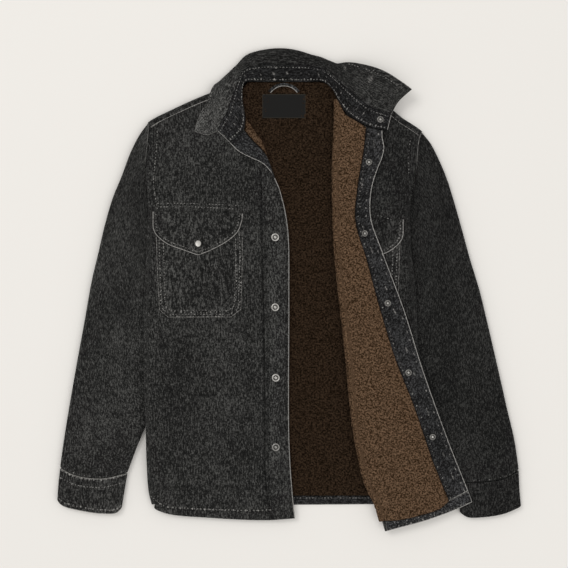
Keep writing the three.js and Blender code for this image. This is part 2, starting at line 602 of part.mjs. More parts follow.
function addCollar() {
  const column = (name) => spline(COLLAR.map((row) => row[name]));
  const lines = { neck: column('neck'), seam: column('seam'), roll: column('roll'), edge: column('edge') };
  const opening = spline(COLLAR.map((row) => [row.open, 0, 0]));
  const stand = (u, v) => lines.neck.getPoint(u).lerp(lines.seam.getPoint(u), v * 0.985);
  addPiece('collar_stand', 'facing', swept(stand, 26, 2, STAND));
  const leaf = (u, v) => {
    const [start, end] = [lines.seam.getPoint(u), lines.edge.getPoint(u)];
    start.addScaledVector(end.clone().sub(start).normalize(), 0.3);
    const middle = lines.roll.getPoint(u).multiplyScalar(8).sub(start).sub(end).divideScalar(6);
    const lift = new THREE.Vector3(0, 0, opening.getPoint(u).x);
    const [upper, lower] = [middle.clone().add(lift), middle.clone().sub(lift)];
    return new THREE.CubicBezierCurve3(start, upper, lower, end).getPoint(v);
  };
  addPiece('collar_leaf', 'denim', swept(leaf, 26, 8, STAND));
}

// ---------------------------------------------------------------------------
// Label, hanging loop and snaps
// ---------------------------------------------------------------------------
const ON_LINING = LEVEL.backLining + PILE + GAP;

function addNeckDetails() {
  const { x, y, width, height, thickness } = NECK_LABEL;
  const label = new THREE.BoxGeometry(width, height, thickness);
  addPiece('neck_label', 'label', label.translate(x, y, ON_LINING + thickness / 2));
  const arch = new THREE.Shape();
  arch.absarc(0, LOOP.y, LOOP.outer, LOOP.from, LOOP.to, false);
  arch.absarc(0, LOOP.y, LOOP.inner, LOOP.to, LOOP.from, true);
  const strap = new THREE.ExtrudeGeometry(arch, {
    depth: LOOP.thickness, bevelEnabled: false, curveSegments: 10,
  });
  addPiece('hanger_loop', 'facing', strap.translate(0, 0, ON_LINING));
}

// A snap part turned on its axis and seated on a layer's facet.
function addSnap(name, profile, [x, y], rise, level) {
  const points = profile.map(([radius, height]) => new THREE.Vector2(radius, height));
  const mesh = addPiece(name, 'metal', new THREE.LatheGeometry(points, 14).rotateX(Math.PI / 2));
  const reach = 5;
  const slope = (dx, dy) => facetHeight(rise, x + dx, y + dy) - facetHeight(rise, x - dx, y - dy);
  const normal = new THREE.Vector3(-slope(reach, 0), -slope(0, reach), 2 * reach).normalize();
  mesh.quaternion.setFromUnitVectors(new THREE.Vector3(0, 0, 1), normal);
  mesh.position.set(x, y, facetHeight(rise, x, y) + level + GAP);
}

function addSnaps() {
  const { radius: r, height: h } = SNAP;
  const stud = [
    [0, 0], [r, 0], [r, h], [0.66 * r, h], [0.6 * r, 0.5 * h], [0.34 * r, 0.5 * h], [0.3 * r, 1.3 * h],
    [0, 1.4 * h],
  ];
  const socket = [
    [0, 0], [0.8 * r, 0], [0.8 * r, 0.8 * h], [0.4 * r, h], [0.36 * r, 0.35 * h], [0, 0.35 * h],
  ];
  const cap = [[0, 0], [0.95 * r, 0], [0.9 * r, 0.6 * h], [0.5 * r, h], [0, 1.1 * h]];
  const onFacing = LEVEL.turnedLining + DENIM;
  STUDS.forEach((place, i) => addSnap(`stud_${i + 1}`, stud, place, frontRise, LEVEL.onFront + BAND));
  SOCKETS.forEach((place, i) => addSnap(`socket_${i + 1}`, socket, place, turnedRise, onFacing));
  addSnap('socket_6', socket, STAND_SOCKET.place, () => 0, STAND_SOCKET.height);
  addSnap('flap_cap', cap, FLAP_CAP, frontRise, LEVEL.flap + BAND);
}

addBack();
addRightFront();
addLeftFront();
addPocket('right', (points) => points, prism(outline([[-240, -100], [0, -100]], [[0, 200], [-240, 200]])));
addPocket(
  'left',
  (points) => points.map(([x, y]) => [POCKET_SHIFT.x - x, y + POCKET_SHIFT.y]),
  prism(outline(shift(FOLD, 1.5, 0), [[240, 322], [240, -411]])),
);
addSleeve('right');
addSleeve('left');
addCollar();
addNeckDetails();
addSnaps();

export default jacket;
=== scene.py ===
"""Denim shirt jacket lined with fleece, laid flat and open on a pale floor, seen from above.

All sizes are in metres. +Z is up and +Y runs to the collar. The wearer's right is at -X.
"""

import logging
import math
from dataclasses import dataclass, field
from enum import Enum
from typing import Callable, Sequence, Union

import bmesh
import bpy
import numpy as np
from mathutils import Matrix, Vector, noise
from mathutils.geometry import delaunay_2d_cdt


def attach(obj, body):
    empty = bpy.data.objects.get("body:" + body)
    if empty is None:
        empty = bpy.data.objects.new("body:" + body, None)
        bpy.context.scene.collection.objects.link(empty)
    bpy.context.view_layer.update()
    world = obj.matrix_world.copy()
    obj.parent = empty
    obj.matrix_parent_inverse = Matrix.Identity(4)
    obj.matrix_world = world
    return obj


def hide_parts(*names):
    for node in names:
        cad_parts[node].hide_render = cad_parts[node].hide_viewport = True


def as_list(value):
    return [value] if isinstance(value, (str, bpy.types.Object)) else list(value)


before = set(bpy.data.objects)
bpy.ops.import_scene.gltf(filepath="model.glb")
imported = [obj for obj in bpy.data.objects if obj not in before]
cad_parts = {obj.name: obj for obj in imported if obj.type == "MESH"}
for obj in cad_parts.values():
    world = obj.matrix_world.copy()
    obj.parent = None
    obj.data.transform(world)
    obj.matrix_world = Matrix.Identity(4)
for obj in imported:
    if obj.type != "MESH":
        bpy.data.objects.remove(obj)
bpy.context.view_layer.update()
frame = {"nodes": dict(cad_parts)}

log = logging.getLogger("jacket")
Array = np.ndarray
Field = Callable[[Array], Array]  # heights of points in plan
MM = 0.001


# ---------------------------------------------------------------------------
# Sizes
# ---------------------------------------------------------------------------
class Cloth:
    """Thicknesses of the cloths and the gap that keeps them apart."""

    DENIM = 1.6 * MM
    PILE = 4.0 * MM
    BAND = 1.2 * MM
    STAND = 2.4 * MM
    GAP = 0.3 * MM
    SEAM = 0.6 * MM


class Tube:
    """Walls and heights of the flattened sleeves and cuffs."""

    SLEEVE_WALL = 4.5 * MM
    SLEEVE_HEIGHT = 12.4 * MM
    CUFF_WALL = 4.0 * MM
    CUFF_HEIGHT = 11.0 * MM


class Level:
    """Height of the lower face of each layer over what the body lies on."""

    BACK = 0.0
    BACK_LINING = BACK + Cloth.DENIM + Cloth.GAP
    FRONT_LINING = BACK_LINING + Cloth.PILE + Cloth.GAP
    FRONT = FRONT_LINING + Cloth.PILE + Cloth.GAP
    ON_FRONT = FRONT + Cloth.DENIM + Cloth.GAP
    FLAP = ON_FRONT + Cloth.BAND + Cloth.GAP
    TURNED = FLAP + Cloth.BAND + 2 * Cloth.GAP
    TURNED_LINING = TURNED + Cloth.DENIM + Cloth.GAP
    ON_LINING = BACK_LINING + Cloth.PILE + Cloth.GAP


EDGE_ROLL = (Level.FRONT + Cloth.DENIM) / 2
FOLD_MIDDLE = (Level.FRONT + Level.TURNED + Cloth.DENIM) / 2
FOLD_SHELL = FOLD_MIDDLE - Level.FRONT
FOLD_LINING = FOLD_MIDDLE - Level.FRONT_LINING
SIDE_TUCK = EDGE_ROLL + 2 * Cloth.SEAM
LINING_TUCK = EDGE_ROLL + 2 * MM
YOKE_GAP = 2.2 * MM  # between the yoke and the upper edges of the fronts
YOKE_SEAM = 6 * MM  # from the yoke to the sunk line under it


# ---------------------------------------------------------------------------
# Lines
# ---------------------------------------------------------------------------
def smooth(low: float, high: float, value: Array) -> Array:
    """Smoothstep from 0 at low to 1 at high."""
    t = np.clip((np.asarray(value, float) - low) / (high - low), 0, 1)
    return t * t * (3 - 2 * t)


def bell(gap: Array, width: float) -> Array:
    """1 at no gap, about a third at the width and almost nothing at twice the width."""
    return np.exp(-((gap / width) ** 2))


def dome(share: Array) -> Array:
    """Height of a quarter circle, from 0 at 0 to 1 at 1."""
    return np.sqrt(np.maximum(0, 1 - (1 - share) ** 2))


def unit(vectors: Array) -> Array:
    """Vectors brought to a length of 1."""
    return vectors / np.maximum(np.linalg.norm(vectors, axis=-1), 1e-12)[..., None]


def raised(rise: Field, level: float) -> Field:
    """A height field, a level over another."""
    return lambda points: rise(points) + level


def read_off(at: Array, along: Array, values: Array) -> Array:
    """Rows of values at places between the places where they are known."""
    return np.stack([np.interp(at, along, values[:, k]) for k in range(values.shape[1])], -1)


def spaced(path: Array, step: float) -> Array:
    """Points along a polyline, an even step apart, its ends kept."""
    length = arc(path)
    count = max(1, round(length[-1] / step))
    return read_off(np.linspace(0, length[-1], count + 1), length, path)


def arc(path: Array) -> Array:
    """Distance along a polyline of each of its points."""
    return np.concatenate([[0], np.cumsum(np.linalg.norm(np.diff(path, axis=0), axis=1))])


class Line:
    """A smooth line through points, in plan or in space."""

    SPAN = 24  # points that stand for the curve between two given points

    def __init__(self, points: Array) -> None:
        """Keeps the points, in metres."""
        self.points = np.asarray(points, float)

    @classmethod
    def mm(cls, *points: Sequence[float]) -> "Line":
        """A line whose points are given in millimetres."""
        return cls(np.array(points, float) * MM)

    @classmethod
    def through(cls, *stretches: Array) -> "Line":
        """A line through stretches of points, one after the other."""
        return cls(np.concatenate(stretches))

    def shifted(self, dx: float = 0.0, dy: float = 0.0) -> "Line":
        """The line moved in plan."""
        moved = self.points.copy()
        moved[:, 0] += dx
        moved[:, 1] += dy
        return Line(moved)

    def reversed(self) -> "Line":
        """The line run the other way."""
        return Line(self.points[::-1])

    def part(self, start: int, stop: int) -> "Line":
        """The stretch between two of its points."""
        return Line(self.points[start:stop])

    def cut(self, y: float, keep_above: bool) -> "Line":
        """The part above or below a height, for a line that runs up.

        Args:
            y: The height of the cut.
            keep_above: Whether the upper part is kept.
        Returns:
            The part, which ends at the cut.
        """
        k = int(np.argmax(self.points[:, 1] > y))
        (x0, y0), (x1, y1) = self.points[k - 1], self.points[k]
        corner = np.array([[x0 + (x1 - x0) * (y - y0) / (y1 - y0), y]])
        return Line.through(*((corner, self.points[k:]) if keep_above else (self.points[:k], corner)))

    def above(self, y: float) -> "Line":
        """The part above a height."""
        return self.cut(y, True)

    def below(self, y: float) -> "Line":
        """The part below a height."""
        return self.cut(y, False)

    def dense(self) -> Array:
        """Close points of the centripetal Catmull-Rom curve through the line's points."""
        p = self.points
        if len(p) == 2:
            t = np.linspace(0, 1, self.SPAN + 1)[:, None]
            return p[0] * (1 - t) + p[1] * t
        full = np.concatenate([[2 * p[0] - p[1]], p, [2 * p[-1] - p[-2]]])
        gaps = np.maximum(np.linalg.norm(np.diff(full, axis=0), axis=1), 1e-9) ** 0.5
        t = np.linspace(0, 1, self.SPAN, endpoint=False)[:, None]
        spans = []
        for i in range(len(p) - 1):
            a, b, c, d = full[i : i + 4]
            g0, g1, g2 = gaps[i : i + 3]
            out = ((b - a) / g0 - (c - a) / (g0 + g1) + (c - b) / g1) * g1
            into = ((c - b) / g1 - (d - b) / (g1 + g2) + (d - c) / g2) * g1
            square, cube = 3 * (c - b) - 2 * out - into, 2 * (b - c) + out + into
            spans.append(b + out * t + square * t**2 + cube * t**3)
        return np.concatenate([*spans, p[-1:]])

    def trace(self, step: float) -> Array:
        """Points along the smooth line, a step apart."""
        return spaced(self.dense(), step)

    def at(self, share: Array) -> Array:
        """Points at shares of the smooth line's length."""
        path = self.dense()
        length = arc(path)
        return read_off(np.clip(share, 0, 1) * length[-1], length, path)

    def by_row(self, share: Array) -> Array:
        """Points at shares of the line's given points, counted row by row."""
        path = self.dense()
        return read_off(np.clip(share, 0, 1) * (len(path) - 1), np.arange(len(path)), path)


def near(points: Array, path: Array) -> tuple[Array, Array]:
    """How far each point lies from a polyline, and how far along it.

    Args:
        points: Points in plan.
        path: The polyline's points, in plan.
    Returns:
        The distances, and the distances along the polyline of the nearest places.
    """
    x0, y0 = path[:-1, 0], path[:-1, 1]
    dx, dy = np.diff(path[:, 0]), np.diff(path[:, 1])
    square = np.maximum(dx * dx + dy * dy, 1e-18)
    length = arc(path[:, :2])
    best, along = np.empty(len(points)), np.empty(len(points))
    size = max(1, 120_000 // len(dx))
    for low in range(0, len(points), size):
        x, y = points[low : low + size, 0, None] - x0, points[low : low + size, 1, None] - y0
        share = np.clip((x * dx + y * dy) / square, 0, 1)
        gap = (x - share * dx) ** 2 + (y - share * dy) ** 2
        k = gap.argmin(1)
        rows = np.arange(len(k))
        best[low : low + size] = np.sqrt(gap[rows, k])
        along[low : low + size] = length[k] + share[rows, k] * (length[k + 1] - length[k])
    return best, along


def inside(points: Array, ring: Array) -> Array:
    """Which points lie inside a closed ring."""
    x, y = points[:, 0], points[:, 1]
    result = np.zeros(len(points), bool)
    for (x0, y0), (x1, y1) in zip(ring, np.roll(ring, -1, axis=0)):
        if y0 == y1:
            continue
        crosses = ((y0 > y) != (y1 > y)) & (x < (x1 - x0) * (y - y0) / (y1 - y0) + x0)
        result ^= crosses
    return result


# ---------------------------------------------------------------------------
# Meshes
# ---------------------------------------------------------------------------
@dataclass
class Skin:
    """Faces and points of a piece, with what its finish reads at each point.

    cloth holds the point's place in the flat cloth, wear how rubbed it is, tone the painted light and
    shade that lighten or darken its colour there, and pile how high it stands in its pile.
    """

    points: Array
    faces: list[Sequence[int]]
    cloth: Array
    wear: Array
    tone: Array
    pile: Array

    @classmethod
    def bare(cls, points: Array, faces: list[Sequence[int]], cloth: Array) -> "Skin":
        """A skin with no wear, of full tone."""
        count = len(points)
        return cls(points, faces, cloth, np.zeros(count), np.ones(count), np.zeros(count))

    @staticmethod
    def of(*parts: "Sheet | Roll | Stitches") -> "Skin":
        """The skins of parts as one."""
        whole, *others = (part.skin() for part in parts)
        for skin in others:
            whole = whole.joined(skin)
        return whole

    def joined(self, other: "Skin") -> "Skin":
        """This skin and another as one."""
        shift = len(self.points)
        moved = [tuple(k + shift for k in face) for face in other.faces]
        stack = lambda name: np.concatenate([getattr(self, name), getattr(other, name)])
        return Skin(
            stack("points"), [*self.faces, *moved], *(stack(n) for n in ("cloth", "wear", "tone", "pile"))
        )


MERGE = 0.01 * MM  # points closer than this become one


def make_mesh(name: str, skin: Skin, finish: bpy.types.Material) -> bpy.types.Mesh:
    """A mesh from a skin, its doubled points merged and its faces turned out.

    Args:
        name: The mesh's name.
        skin: Its faces and points.
        finish: Its material.
    Returns:
        The mesh, which carries what the finish reads.
    """
    mesh = bpy.data.meshes.new(name)
    mesh.from_pydata(skin.points.tolist(), [], skin.faces)
    for label in ("cloth", "wear", "tone", "pile"):
        kind, value = ("FLOAT_VECTOR", "vector") if label == "cloth" else ("FLOAT", "value")
        layer = mesh.attributes.new(label, kind, "POINT")
        layer.data.foreach_set(value, np.ravel(getattr(skin, label)))
    shape = bmesh.new()
    shape.from_mesh(mesh)
    bmesh.ops.remove_doubles(shape, verts=shape.verts, dist=MERGE)
    bmesh.ops.recalc_face_normals(shape, faces=shape.faces)
    shape.to_mesh(mesh)
    shape.free()
    mesh.shade_smooth()
    mesh.materials.append(finish)
    return mesh


def in_scene(name: str, data: bpy.types.ID) -> bpy.types.Object:
    """A new object in the scene, with its mesh, lamp or camera."""
    new = bpy.data.objects.new(name, data)
    bpy.context.scene.collection.objects.link(new)
    return new


class Piece:
    """One named piece of the jacket in the scene."""

    def __init__(self, name: str, skin: Skin, finish: bpy.types.Material, slot: str) -> None:
        """Makes the piece's object and lets it stand for the CAD node of the same name.

        Args:
            name: The piece's name, which is its CAD node's too.
            skin: Its faces and points.
            finish: Its material.
            slot: Name of a material slot; not used.
        """
        self.name, self.slot = name, slot
        self.sewn: list[bpy.types.Object] = []
        self.object = self.place(f"{name}_fine", make_mesh(name, skin, finish))
        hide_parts(name)
        log.info("%s: %d faces", name, len(self.object.data.polygons))

    def place(self, name: str, mesh: bpy.types.Mesh) -> bpy.types.Object:
        """An object of a mesh in the scene, on the jacket's one body."""
        placed = in_scene(name, mesh)
        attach(placed, "root")
        return placed

    def sew(self, rows: Sequence["Stitches"], thread: bpy.types.Material) -> "Piece":
        """Adds the rows of stitches on the piece as one object.

        Args:
            rows: The rows.
            thread: The thread's material.
        Returns:
            The piece.
        """
        name = f"{self.name}_stitches"
        sewn = self.place(name, make_mesh(name, Skin.of(*rows), thread))
        self.sewn.append(sewn)
        log.info("%s: %d stitch faces", self.name, len(sewn.data.polygons))
        return self

    def declare(self, area: float) -> "Piece":
        """Returns the piece and does nothing more.

        Args:
            area: The cut's area; not used.
        Returns:
            The piece.
        """
        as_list(self.sewn)
        return self


@dataclass
class Edge:
    """A stretch of a sheet's outline, free or joined to more cloth, rubbed by its wear."""

    line: Line
    free: bool = True
    wear: float = 0.0
    sharp: bool = False  # whether its corners stay
    step: float = 3 * MM

    HAIR = 0.012 * MM  # how far every other point is off a straight, against slivers
    RUB = 1.1 * MM  # width of its worn stripe

    def path(self) -> Array:
        """Points along the stretch, in plan."""
        path = spaced(self.line.points, self.step) if self.sharp else self.line.trace(self.step)
        path = path[:, :2]
        if self.free and len(path) > 3:
            path[1:-1:2] += self.HAIR * Sheet.across(path)[1:-1:2]
        return path

    def worn(self, points: Array) -> Array:
        """How rubbed the edge leaves the cloth at points in plan."""
        return self.wear * bell(near(points, self.path())[0], self.RUB)


@dataclass
class Seam:
    """A line on the cloth that puckers it, wears it, carries stitches and paints shade along its groove."""

    line: Line
    pucker: float = 0.0
    reach: float = 5 * MM
    groove: float = 0.0
    wear: float = 0.0
    wave: float = 7 * MM
    seed: float = 0.0

    GROOVE, SHADE, RUB = 1.2 * MM, 1.9 * MM, 2.2 * MM  # widths of its groove, its shade and its wear

    def path(self) -> Array:
        """Points along the seam, in plan."""
        return self.line.trace(3 * MM)[:, :2]

    def ripple(self, along: Array) -> Array:
        """The pucker's waves along the seam, about -1 to 1."""
        turn = 2 * math.pi / self.wave
        waves = 0.6 * np.sin(turn * along + self.seed) + 0.25 * np.sin(0.63 * turn * along + 2 * self.seed)
        return waves + 0.25 * np.sin(1.71 * turn * along + 3 * self.seed)

    def height(self, points: Array) -> Array:
        """How far the seam lifts or sinks the cloth at points in plan."""
        gap, along = near(points, self.path())
        pucker = self.pucker * self.ripple(along) * bell(gap, self.reach)
        return pucker - self.groove * bell(gap, self.GROOVE)

    def shade(self, points: Array) -> Array:
        """Share of the tone that the groove's painted shade leaves at points in plan."""
        gap = near(points, self.path())[0]
        return 1 - min(0.6, 0.9 * self.groove / MM) * bell(gap, self.SHADE)

    def worn(self, points: Array) -> Array:
        """How rubbed the seam leaves the cloth at points in plan."""
        gap, along = near(points, self.path())
        crest = np.clip(0.45 + 0.75 * self.ripple(along), 0, 1)
        return self.wear * crest * bell(gap, self.RUB)


@dataclass
class Crease:
    """A soft trough or ridge in the cloth.

    height is negative in a trough. It fades to nothing at both ends.
    """

    line: Line
    width: float
    height: float

    def at(self, points: Array) -> Array:
        """Its height at points in plan."""
        path = self.line.trace(4 * MM)[:, :2]
        reach = 3 * self.width
        close = ((points[:, :2] > path.min(0) - reach) & (points[:, :2] < path.max(0) + reach)).all(1)
        heights = np.zeros(len(points))
        gap, along = near(points[close], path)
        share = along / arc(path)[-1]
        multiplier = smooth(0, 0.3, share) * smooth(0, 0.3, 1 - share)
        heights[close] = self.height * multiplier * bell(gap, self.width)
        return heights


@dataclass
class Stitches:
    """A row of sewing stitches along a path in space, each sunk into the cloth at both ends."""

    path: Array
    up: Array
    length: float = 3.1 * MM
    gap: float = 2.3 * MM
    width: float = 1.5 * MM
    within: Array | None = None  # a ring that the stitches stay inside

    STATIONS = ((-1.0, -0.3, 0.5), (-0.55, 0.2, 1.0), (0.55, 0.2, 1.0), (1.0, -0.3, 0.5))
    SIDES = 6

    @classmethod
    def on(cls, line: Line, top: Field, sharp: bool = False, **sizes: object) -> "Stitches":
        """A row along a line in plan, on a height field; sharp keeps the line's corners."""
        plan = Edge(line, sharp=sharp, step=1.5 * MM).path()
        reach = 0.8 * MM
        slope = [(top(plan + d) - top(plan - d)) / (2 * reach) for d in ((reach, 0), (0, reach))]
        up = unit(np.column_stack([-slope[0], -slope[1], np.ones(len(plan))]))
        return cls(np.column_stack([plan, top(plan)]), up, **sizes)

    def skin(self) -> Skin:
        """All stitches of the row."""
        length = arc(self.path)
        count = max(1, int(length[-1] // (self.length + self.gap)))
        pitch = length[-1] / count
        shake = np.random.RandomState(len(self.path)).uniform(-0.12, 0.12, (2, count))
        middle = (np.arange(count) + 0.5) * pitch
        if self.within is not None:
            kept = inside(read_off(middle, length, self.path), self.within)
            middle, shake = middle[kept], shake[:, kept]
        look = lambda at, values: read_off(at, length, values)
        points, cloth = [], []
        angles = np.linspace(0, 2 * math.pi, self.SIDES, endpoint=False)
        for along, high, wide in self.STATIONS:
            at = np.clip(middle + (along * (1 + shake[0]) + shake[1]) * self.length / 2, 0, length[-1])
            place, up = look(at, self.path), look(at, self.up)
            ahead = look(np.minimum(at + 0.5 * MM, length[-1]), self.path)
            run = ahead - look(np.maximum(at - 0.5 * MM, 0), self.path)
            side = unit(np.cross(run, up))
            radius = self.width / 2 * wide
            ring = (
                (place + up * high * self.width)[:, None]
                + side[:, None] * (radius * np.cos(angles))[None, :, None]
                + up[:, None] * (0.8 * radius * np.sin(angles))[None, :, None]
            )
            points.append(ring)
            cloth.append(np.broadcast_to(np.stack([at, at * 0, at * 0], 1)[:, None], ring.shape))
        grid = np.stack(points, 1)
        count, stations, sides, _ = grid.shape
        face = np.array(grid_faces(stations, sides, True))
        faces = (face[None] + np.arange(count)[:, None, None] * stations * sides).reshape(-1, 4)
        flat = grid.reshape(-1, 3)
        return Skin.bare(flat, faces.tolist(), flat + np.stack(cloth, 1).reshape(-1, 3) * 0.1)


def crease(height: float, width: float, *points: Sequence[float]) -> Crease:
    """A crease from its height, its width and its points, all in millimetres."""
    return Crease(Line.mm(*points), width * MM, height * MM)


def total(creases: Sequence[Crease], points: Array) -> Array:
    """Height of all creases together at points in plan."""
    return sum((c.at(points) for c in creases), np.zeros(len(points)))


def nubs(points: Array, pitch: float, seed: float) -> Array:
    """Height, from 0 to 1, of a fleece of curled nubs at points in plan.

    Args:
        points: Points in plan.
        pitch: Size of a nub.
        seed: Moves the pattern, so that no two fleeces match.
    Returns:
        The heights: 1 at the middle of a full nub.
    """
    heights = np.empty(len(points))
    for k, (x, y) in enumerate(points[:, :2]):
        place = Vector((x / pitch, y / pitch, seed))
        bend = 0.35 * noise.noise(place * 1.7)
        distances, _ = noise.voronoi(place + Vector((bend, -bend, 0)))
        clump = noise.noise(place * 0.23)
        heights[k] = np.clip(1.15 - 1.3 * distances[0], 0, 1) * (0.85 + 0.25 * clump)
    return heights


def spread_in(ring: Array, step: float) -> Array:
    """Points spread evenly, a step apart, inside a ring."""
    low, high = ring.min(0), ring.max(0)
    xs, ys = np.arange(low[0], high[0], step), np.arange(low[1], high[1], step * 0.87)
    grid = np.stack(np.meshgrid(xs, ys), -1)
    grid[1::2, :, 0] += step / 2
    shake = np.random.RandomState(7).uniform(-0.12, 0.12, (grid.size // 2, 2)) * step
    spread = grid.reshape(-1, 2) + shake
    return spread[inside(spread, ring)]


def inset(ring: Array, distance: float) -> Array:
    """A closed ring moved inwards, its last point meeting its first.

    Args:
        ring: The ring, whose last point meets its first.
        distance: How far each stretch moves.
    Returns:
        The smaller ring, with its corners mitred.
    """
    corners = ring[:-1]
    x, y = corners[:, 0], corners[:, 1]
    turn = 1 if np.dot(x, np.roll(y, -1)) > np.dot(y, np.roll(x, -1)) else -1
    run = unit(np.roll(corners, -1, axis=0) - corners)
    normal = turn * np.stack([-run[:, 1], run[:, 0]], 1)
    before = np.roll(normal, 1, axis=0)
    mitre = (normal + before) / np.maximum(1 + (normal * before).sum(1), 0.5)[:, None]
    moved = corners + distance * mitre
    return np.concatenate([moved, moved[:1]])


def mended(faces: Array, count: int) -> list[list[int]]:
    """Triangles whose outer edges follow a ring, where slivers along straight stretches go astray.

    Args:
        faces: The triangles; the ring's points come first.
        count: How many points the ring has.
    Returns:
        The triangles without slivers outside the ring and with those missing inside it.
    """
    pairs = np.sort(np.concatenate([faces[:, [0, 1]], faces[:, [1, 2]], faces[:, [2, 0]]]), axis=1)
    edges, uses = np.unique(pairs, axis=0, return_counts=True)
    known = {(int(a), int(b)): int(n) for (a, b), n in zip(edges, uses)}
    extra: list[list[int]] = []
    drop: set[int] = set()
    for a, b in edges[(uses == 1) & (edges < count).all(1)]:
        a, b = int(a), int(b)
        if b - a in (1, count - 1):
            continue
        run = list(range(a, b + 1)) if b - a <= count // 2 else [*range(b, count), *range(a + 1)]
        steps = [known.get((min(p, q), max(p, q)), 0) for p, q in zip(run, run[1:])]
        if max(steps) > 1:
            within = np.isin(faces, run).all(1)
            drop |= set(np.flatnonzero(within).tolist())
        else:
            extra += [[run[0], run[k], run[k + 1]] for k in range(1, len(run) - 1)]
    kept = [f for k, f in enumerate(faces.tolist()) if k not in drop]
    return kept + extra


@dataclass
class Sheet:
    """A piece of cloth cut to an outline and laid on a height field.

    bottom gives the height of its lower face; relief, if any, raises its upper face. grain turns
    the warp away from +Y. fine is a ring inside which the points lie closer, and their distance.
    """

    edges: list[Edge]
    bottom: Field
    thickness: float
    rim: float = 0.8 * MM
    step: float = 4.5 * MM
    under_step: float = 12 * MM
    seams: list[Seam] = field(default_factory=list)
    relief: Field | None = None
    grain: float = 0.0
    offset: float = 0.0
    # tone: painted light and shade, a factor on the whole sheet's colour
    tone: float = 1.0
    fine: tuple[Array, float] | None = None

    MEETING = 0.3 * MM  # ends of stretches closer than this are one point
    ROWS = (-3.4, -1.6, 0, 1.6, 3.4)  # rows of points along a seam, in millimetres off it

    def ring(self) -> Array:
        """The outline's points, once each; where two stretches meet, the joined one's point stays."""
        points: list[Array] = []
        fixed: list[bool] = []
        for edge in self.edges:
            for point in edge.path():
                if points and np.linalg.norm(point - points[-1]) < self.MEETING:
                    if not edge.free:
                        points[-1], fixed[-1] = point, True
                    continue
                points.append(point)
                fixed.append(not edge.free)
        if np.linalg.norm(points[0] - points[-1]) < self.MEETING:
            points.pop(0 if fixed[-1] else -1)
        return np.array(points)

    def area(self) -> float:
        """Area of the cut."""
        x, y = self.ring().T
        return abs(float(np.dot(x, np.roll(y, -1)) - np.dot(y, np.roll(x, -1)))) / 2

    def rim_path(self) -> list[Array]:
        """The free stretches of the outline."""
        return [edge.path() for edge in self.edges if edge.free]

    def edge_gap(self, points: Array) -> Array:
        """Distance of points from the free edges."""
        gaps = [near(points, path)[0] for path in self.rim_path()]
        return np.min(gaps, axis=0) if gaps else np.full(len(points), 9.0)

    def filling(self, ring: Array, step: float, rows: bool) -> Array:
        """Points inside the outline: an even spread, rows along the rim and rows along the seams.

        Args:
            ring: The outline.
            step: Distance between the points.
            rows: Whether the rows are added.
        Returns:
            The points.
        """
        closed = np.concatenate([ring, ring[:1]])
        spread = spread_in(ring, step)
        if rows and self.fine is not None:
            patch, close = self.fine
            spread = np.concatenate([spread[~inside(spread, patch)], spread_in(patch, close)])
            spread = spread[inside(spread, ring)]
        spread = spread[near(spread, closed)[0] > max(0.3 * step, self.rim * 1.4)]
        extra = []
        if rows:
            for seam in self.seams:
                path = spaced(seam.path(), 1.9 * MM)
                across = self.across(path)
                extra += [path + across * d * MM for d in self.ROWS]
        for path in self.rim_path():
            fine = spaced(path, 3 * MM)
            across = self.across(fine)
            extra += [fine + side * across * d * self.rim for d in (0.3, 1.0) for side in (-1, 1)]
        if not extra:
            return spread
        more = np.concatenate(extra)
        more = more[inside(more, ring)]
        return np.concatenate([spread, more[near(more, closed)[0] > 0.2 * self.rim]])

    @staticmethod
    def across(path: Array) -> Array:
        """Unit vectors across a path at each of its points."""
        along = unit(np.gradient(path, axis=0))
        return np.stack([-along[:, 1], along[:, 0]], 1)

    def half(self, points: Array) -> Array:
        """Half the thickness at points: full inside, none at a free edge, round between."""
        share = np.clip((self.edge_gap(points) - 2e-6) / self.rim, 0, 1)
        return self.thickness / 2 * dome(share)

    def lift(self, points: Array) -> Array:
        """How far the seams lift the cloth at points in plan."""
        return sum((s.height(points) for s in self.seams), np.zeros(len(points)))

    def top(self, points: Array) -> Array:
        """Height of the upper face inside the rim, without its relief."""
        return self.bottom(points) + self.thickness + self.lift(points)

    def face(self, ring: Array, step: float, upper: bool) -> Skin:
        """One face of the cloth as a skin.

        Args:
            ring: The outline.
            step: Distance between the points.
            upper: Whether it is the upper face.
        Returns:
            The skin, whose first points are the outline's.
        """
        fill = self.filling(ring, step, upper)
        plan = np.concatenate([ring, fill])
        closing = [(k, (k + 1) % len(ring)) for k in range(len(ring))]
        result = delaunay_2d_cdt([Vector(p) for p in plan], closing, [], 0, 1e-7, False)
        plan = np.concatenate([ring, np.array([tuple(v) for v in result[0]])[len(ring) :]])
        faces = np.array([tuple(f) for f in result[2]])
        faces = mended(faces[inside(plan[faces].mean(1), ring)], len(ring))
        middle = self.bottom(plan) + self.thickness / 2 + self.lift(plan)
        half = self.half(plan)
        pile = self.relief(plan) if self.relief and upper else np.zeros(len(plan))
        z = middle + half + pile * np.clip(half * 2 / self.thickness, 0, 1) if upper else middle - half
        z = np.maximum(z, 0)
        cos, sin = math.cos(self.grain), math.sin(self.grain)
        turn = np.array([[cos, -sin], [sin, cos]])
        cloth = np.column_stack([plan @ turn, np.full(len(plan), self.offset)])
        skin = Skin.bare(np.column_stack([plan, z]), faces, cloth)
        worn = [line.worn(plan) for line in (*self.edges, *self.seams) if line.wear]
        skin.wear = np.maximum.reduce([np.zeros(len(plan)), *worn])
        # painted light and shade: the sheet's tone, with painted shade along grooved seams
        skin.tone = self.tone * np.prod([np.ones(len(plan)), *(s.shade(plan) for s in self.seams)], axis=0)
        skin.pile = pile / max(pile.max(), 1e-9)
        return skin

    def skin(self) -> Skin:
        """Both faces, closed along the free edges."""
        ring = self.ring()
        upper, lower = self.face(ring, self.step, True), self.face(ring, self.under_step, False)
        return upper.joined(lower)


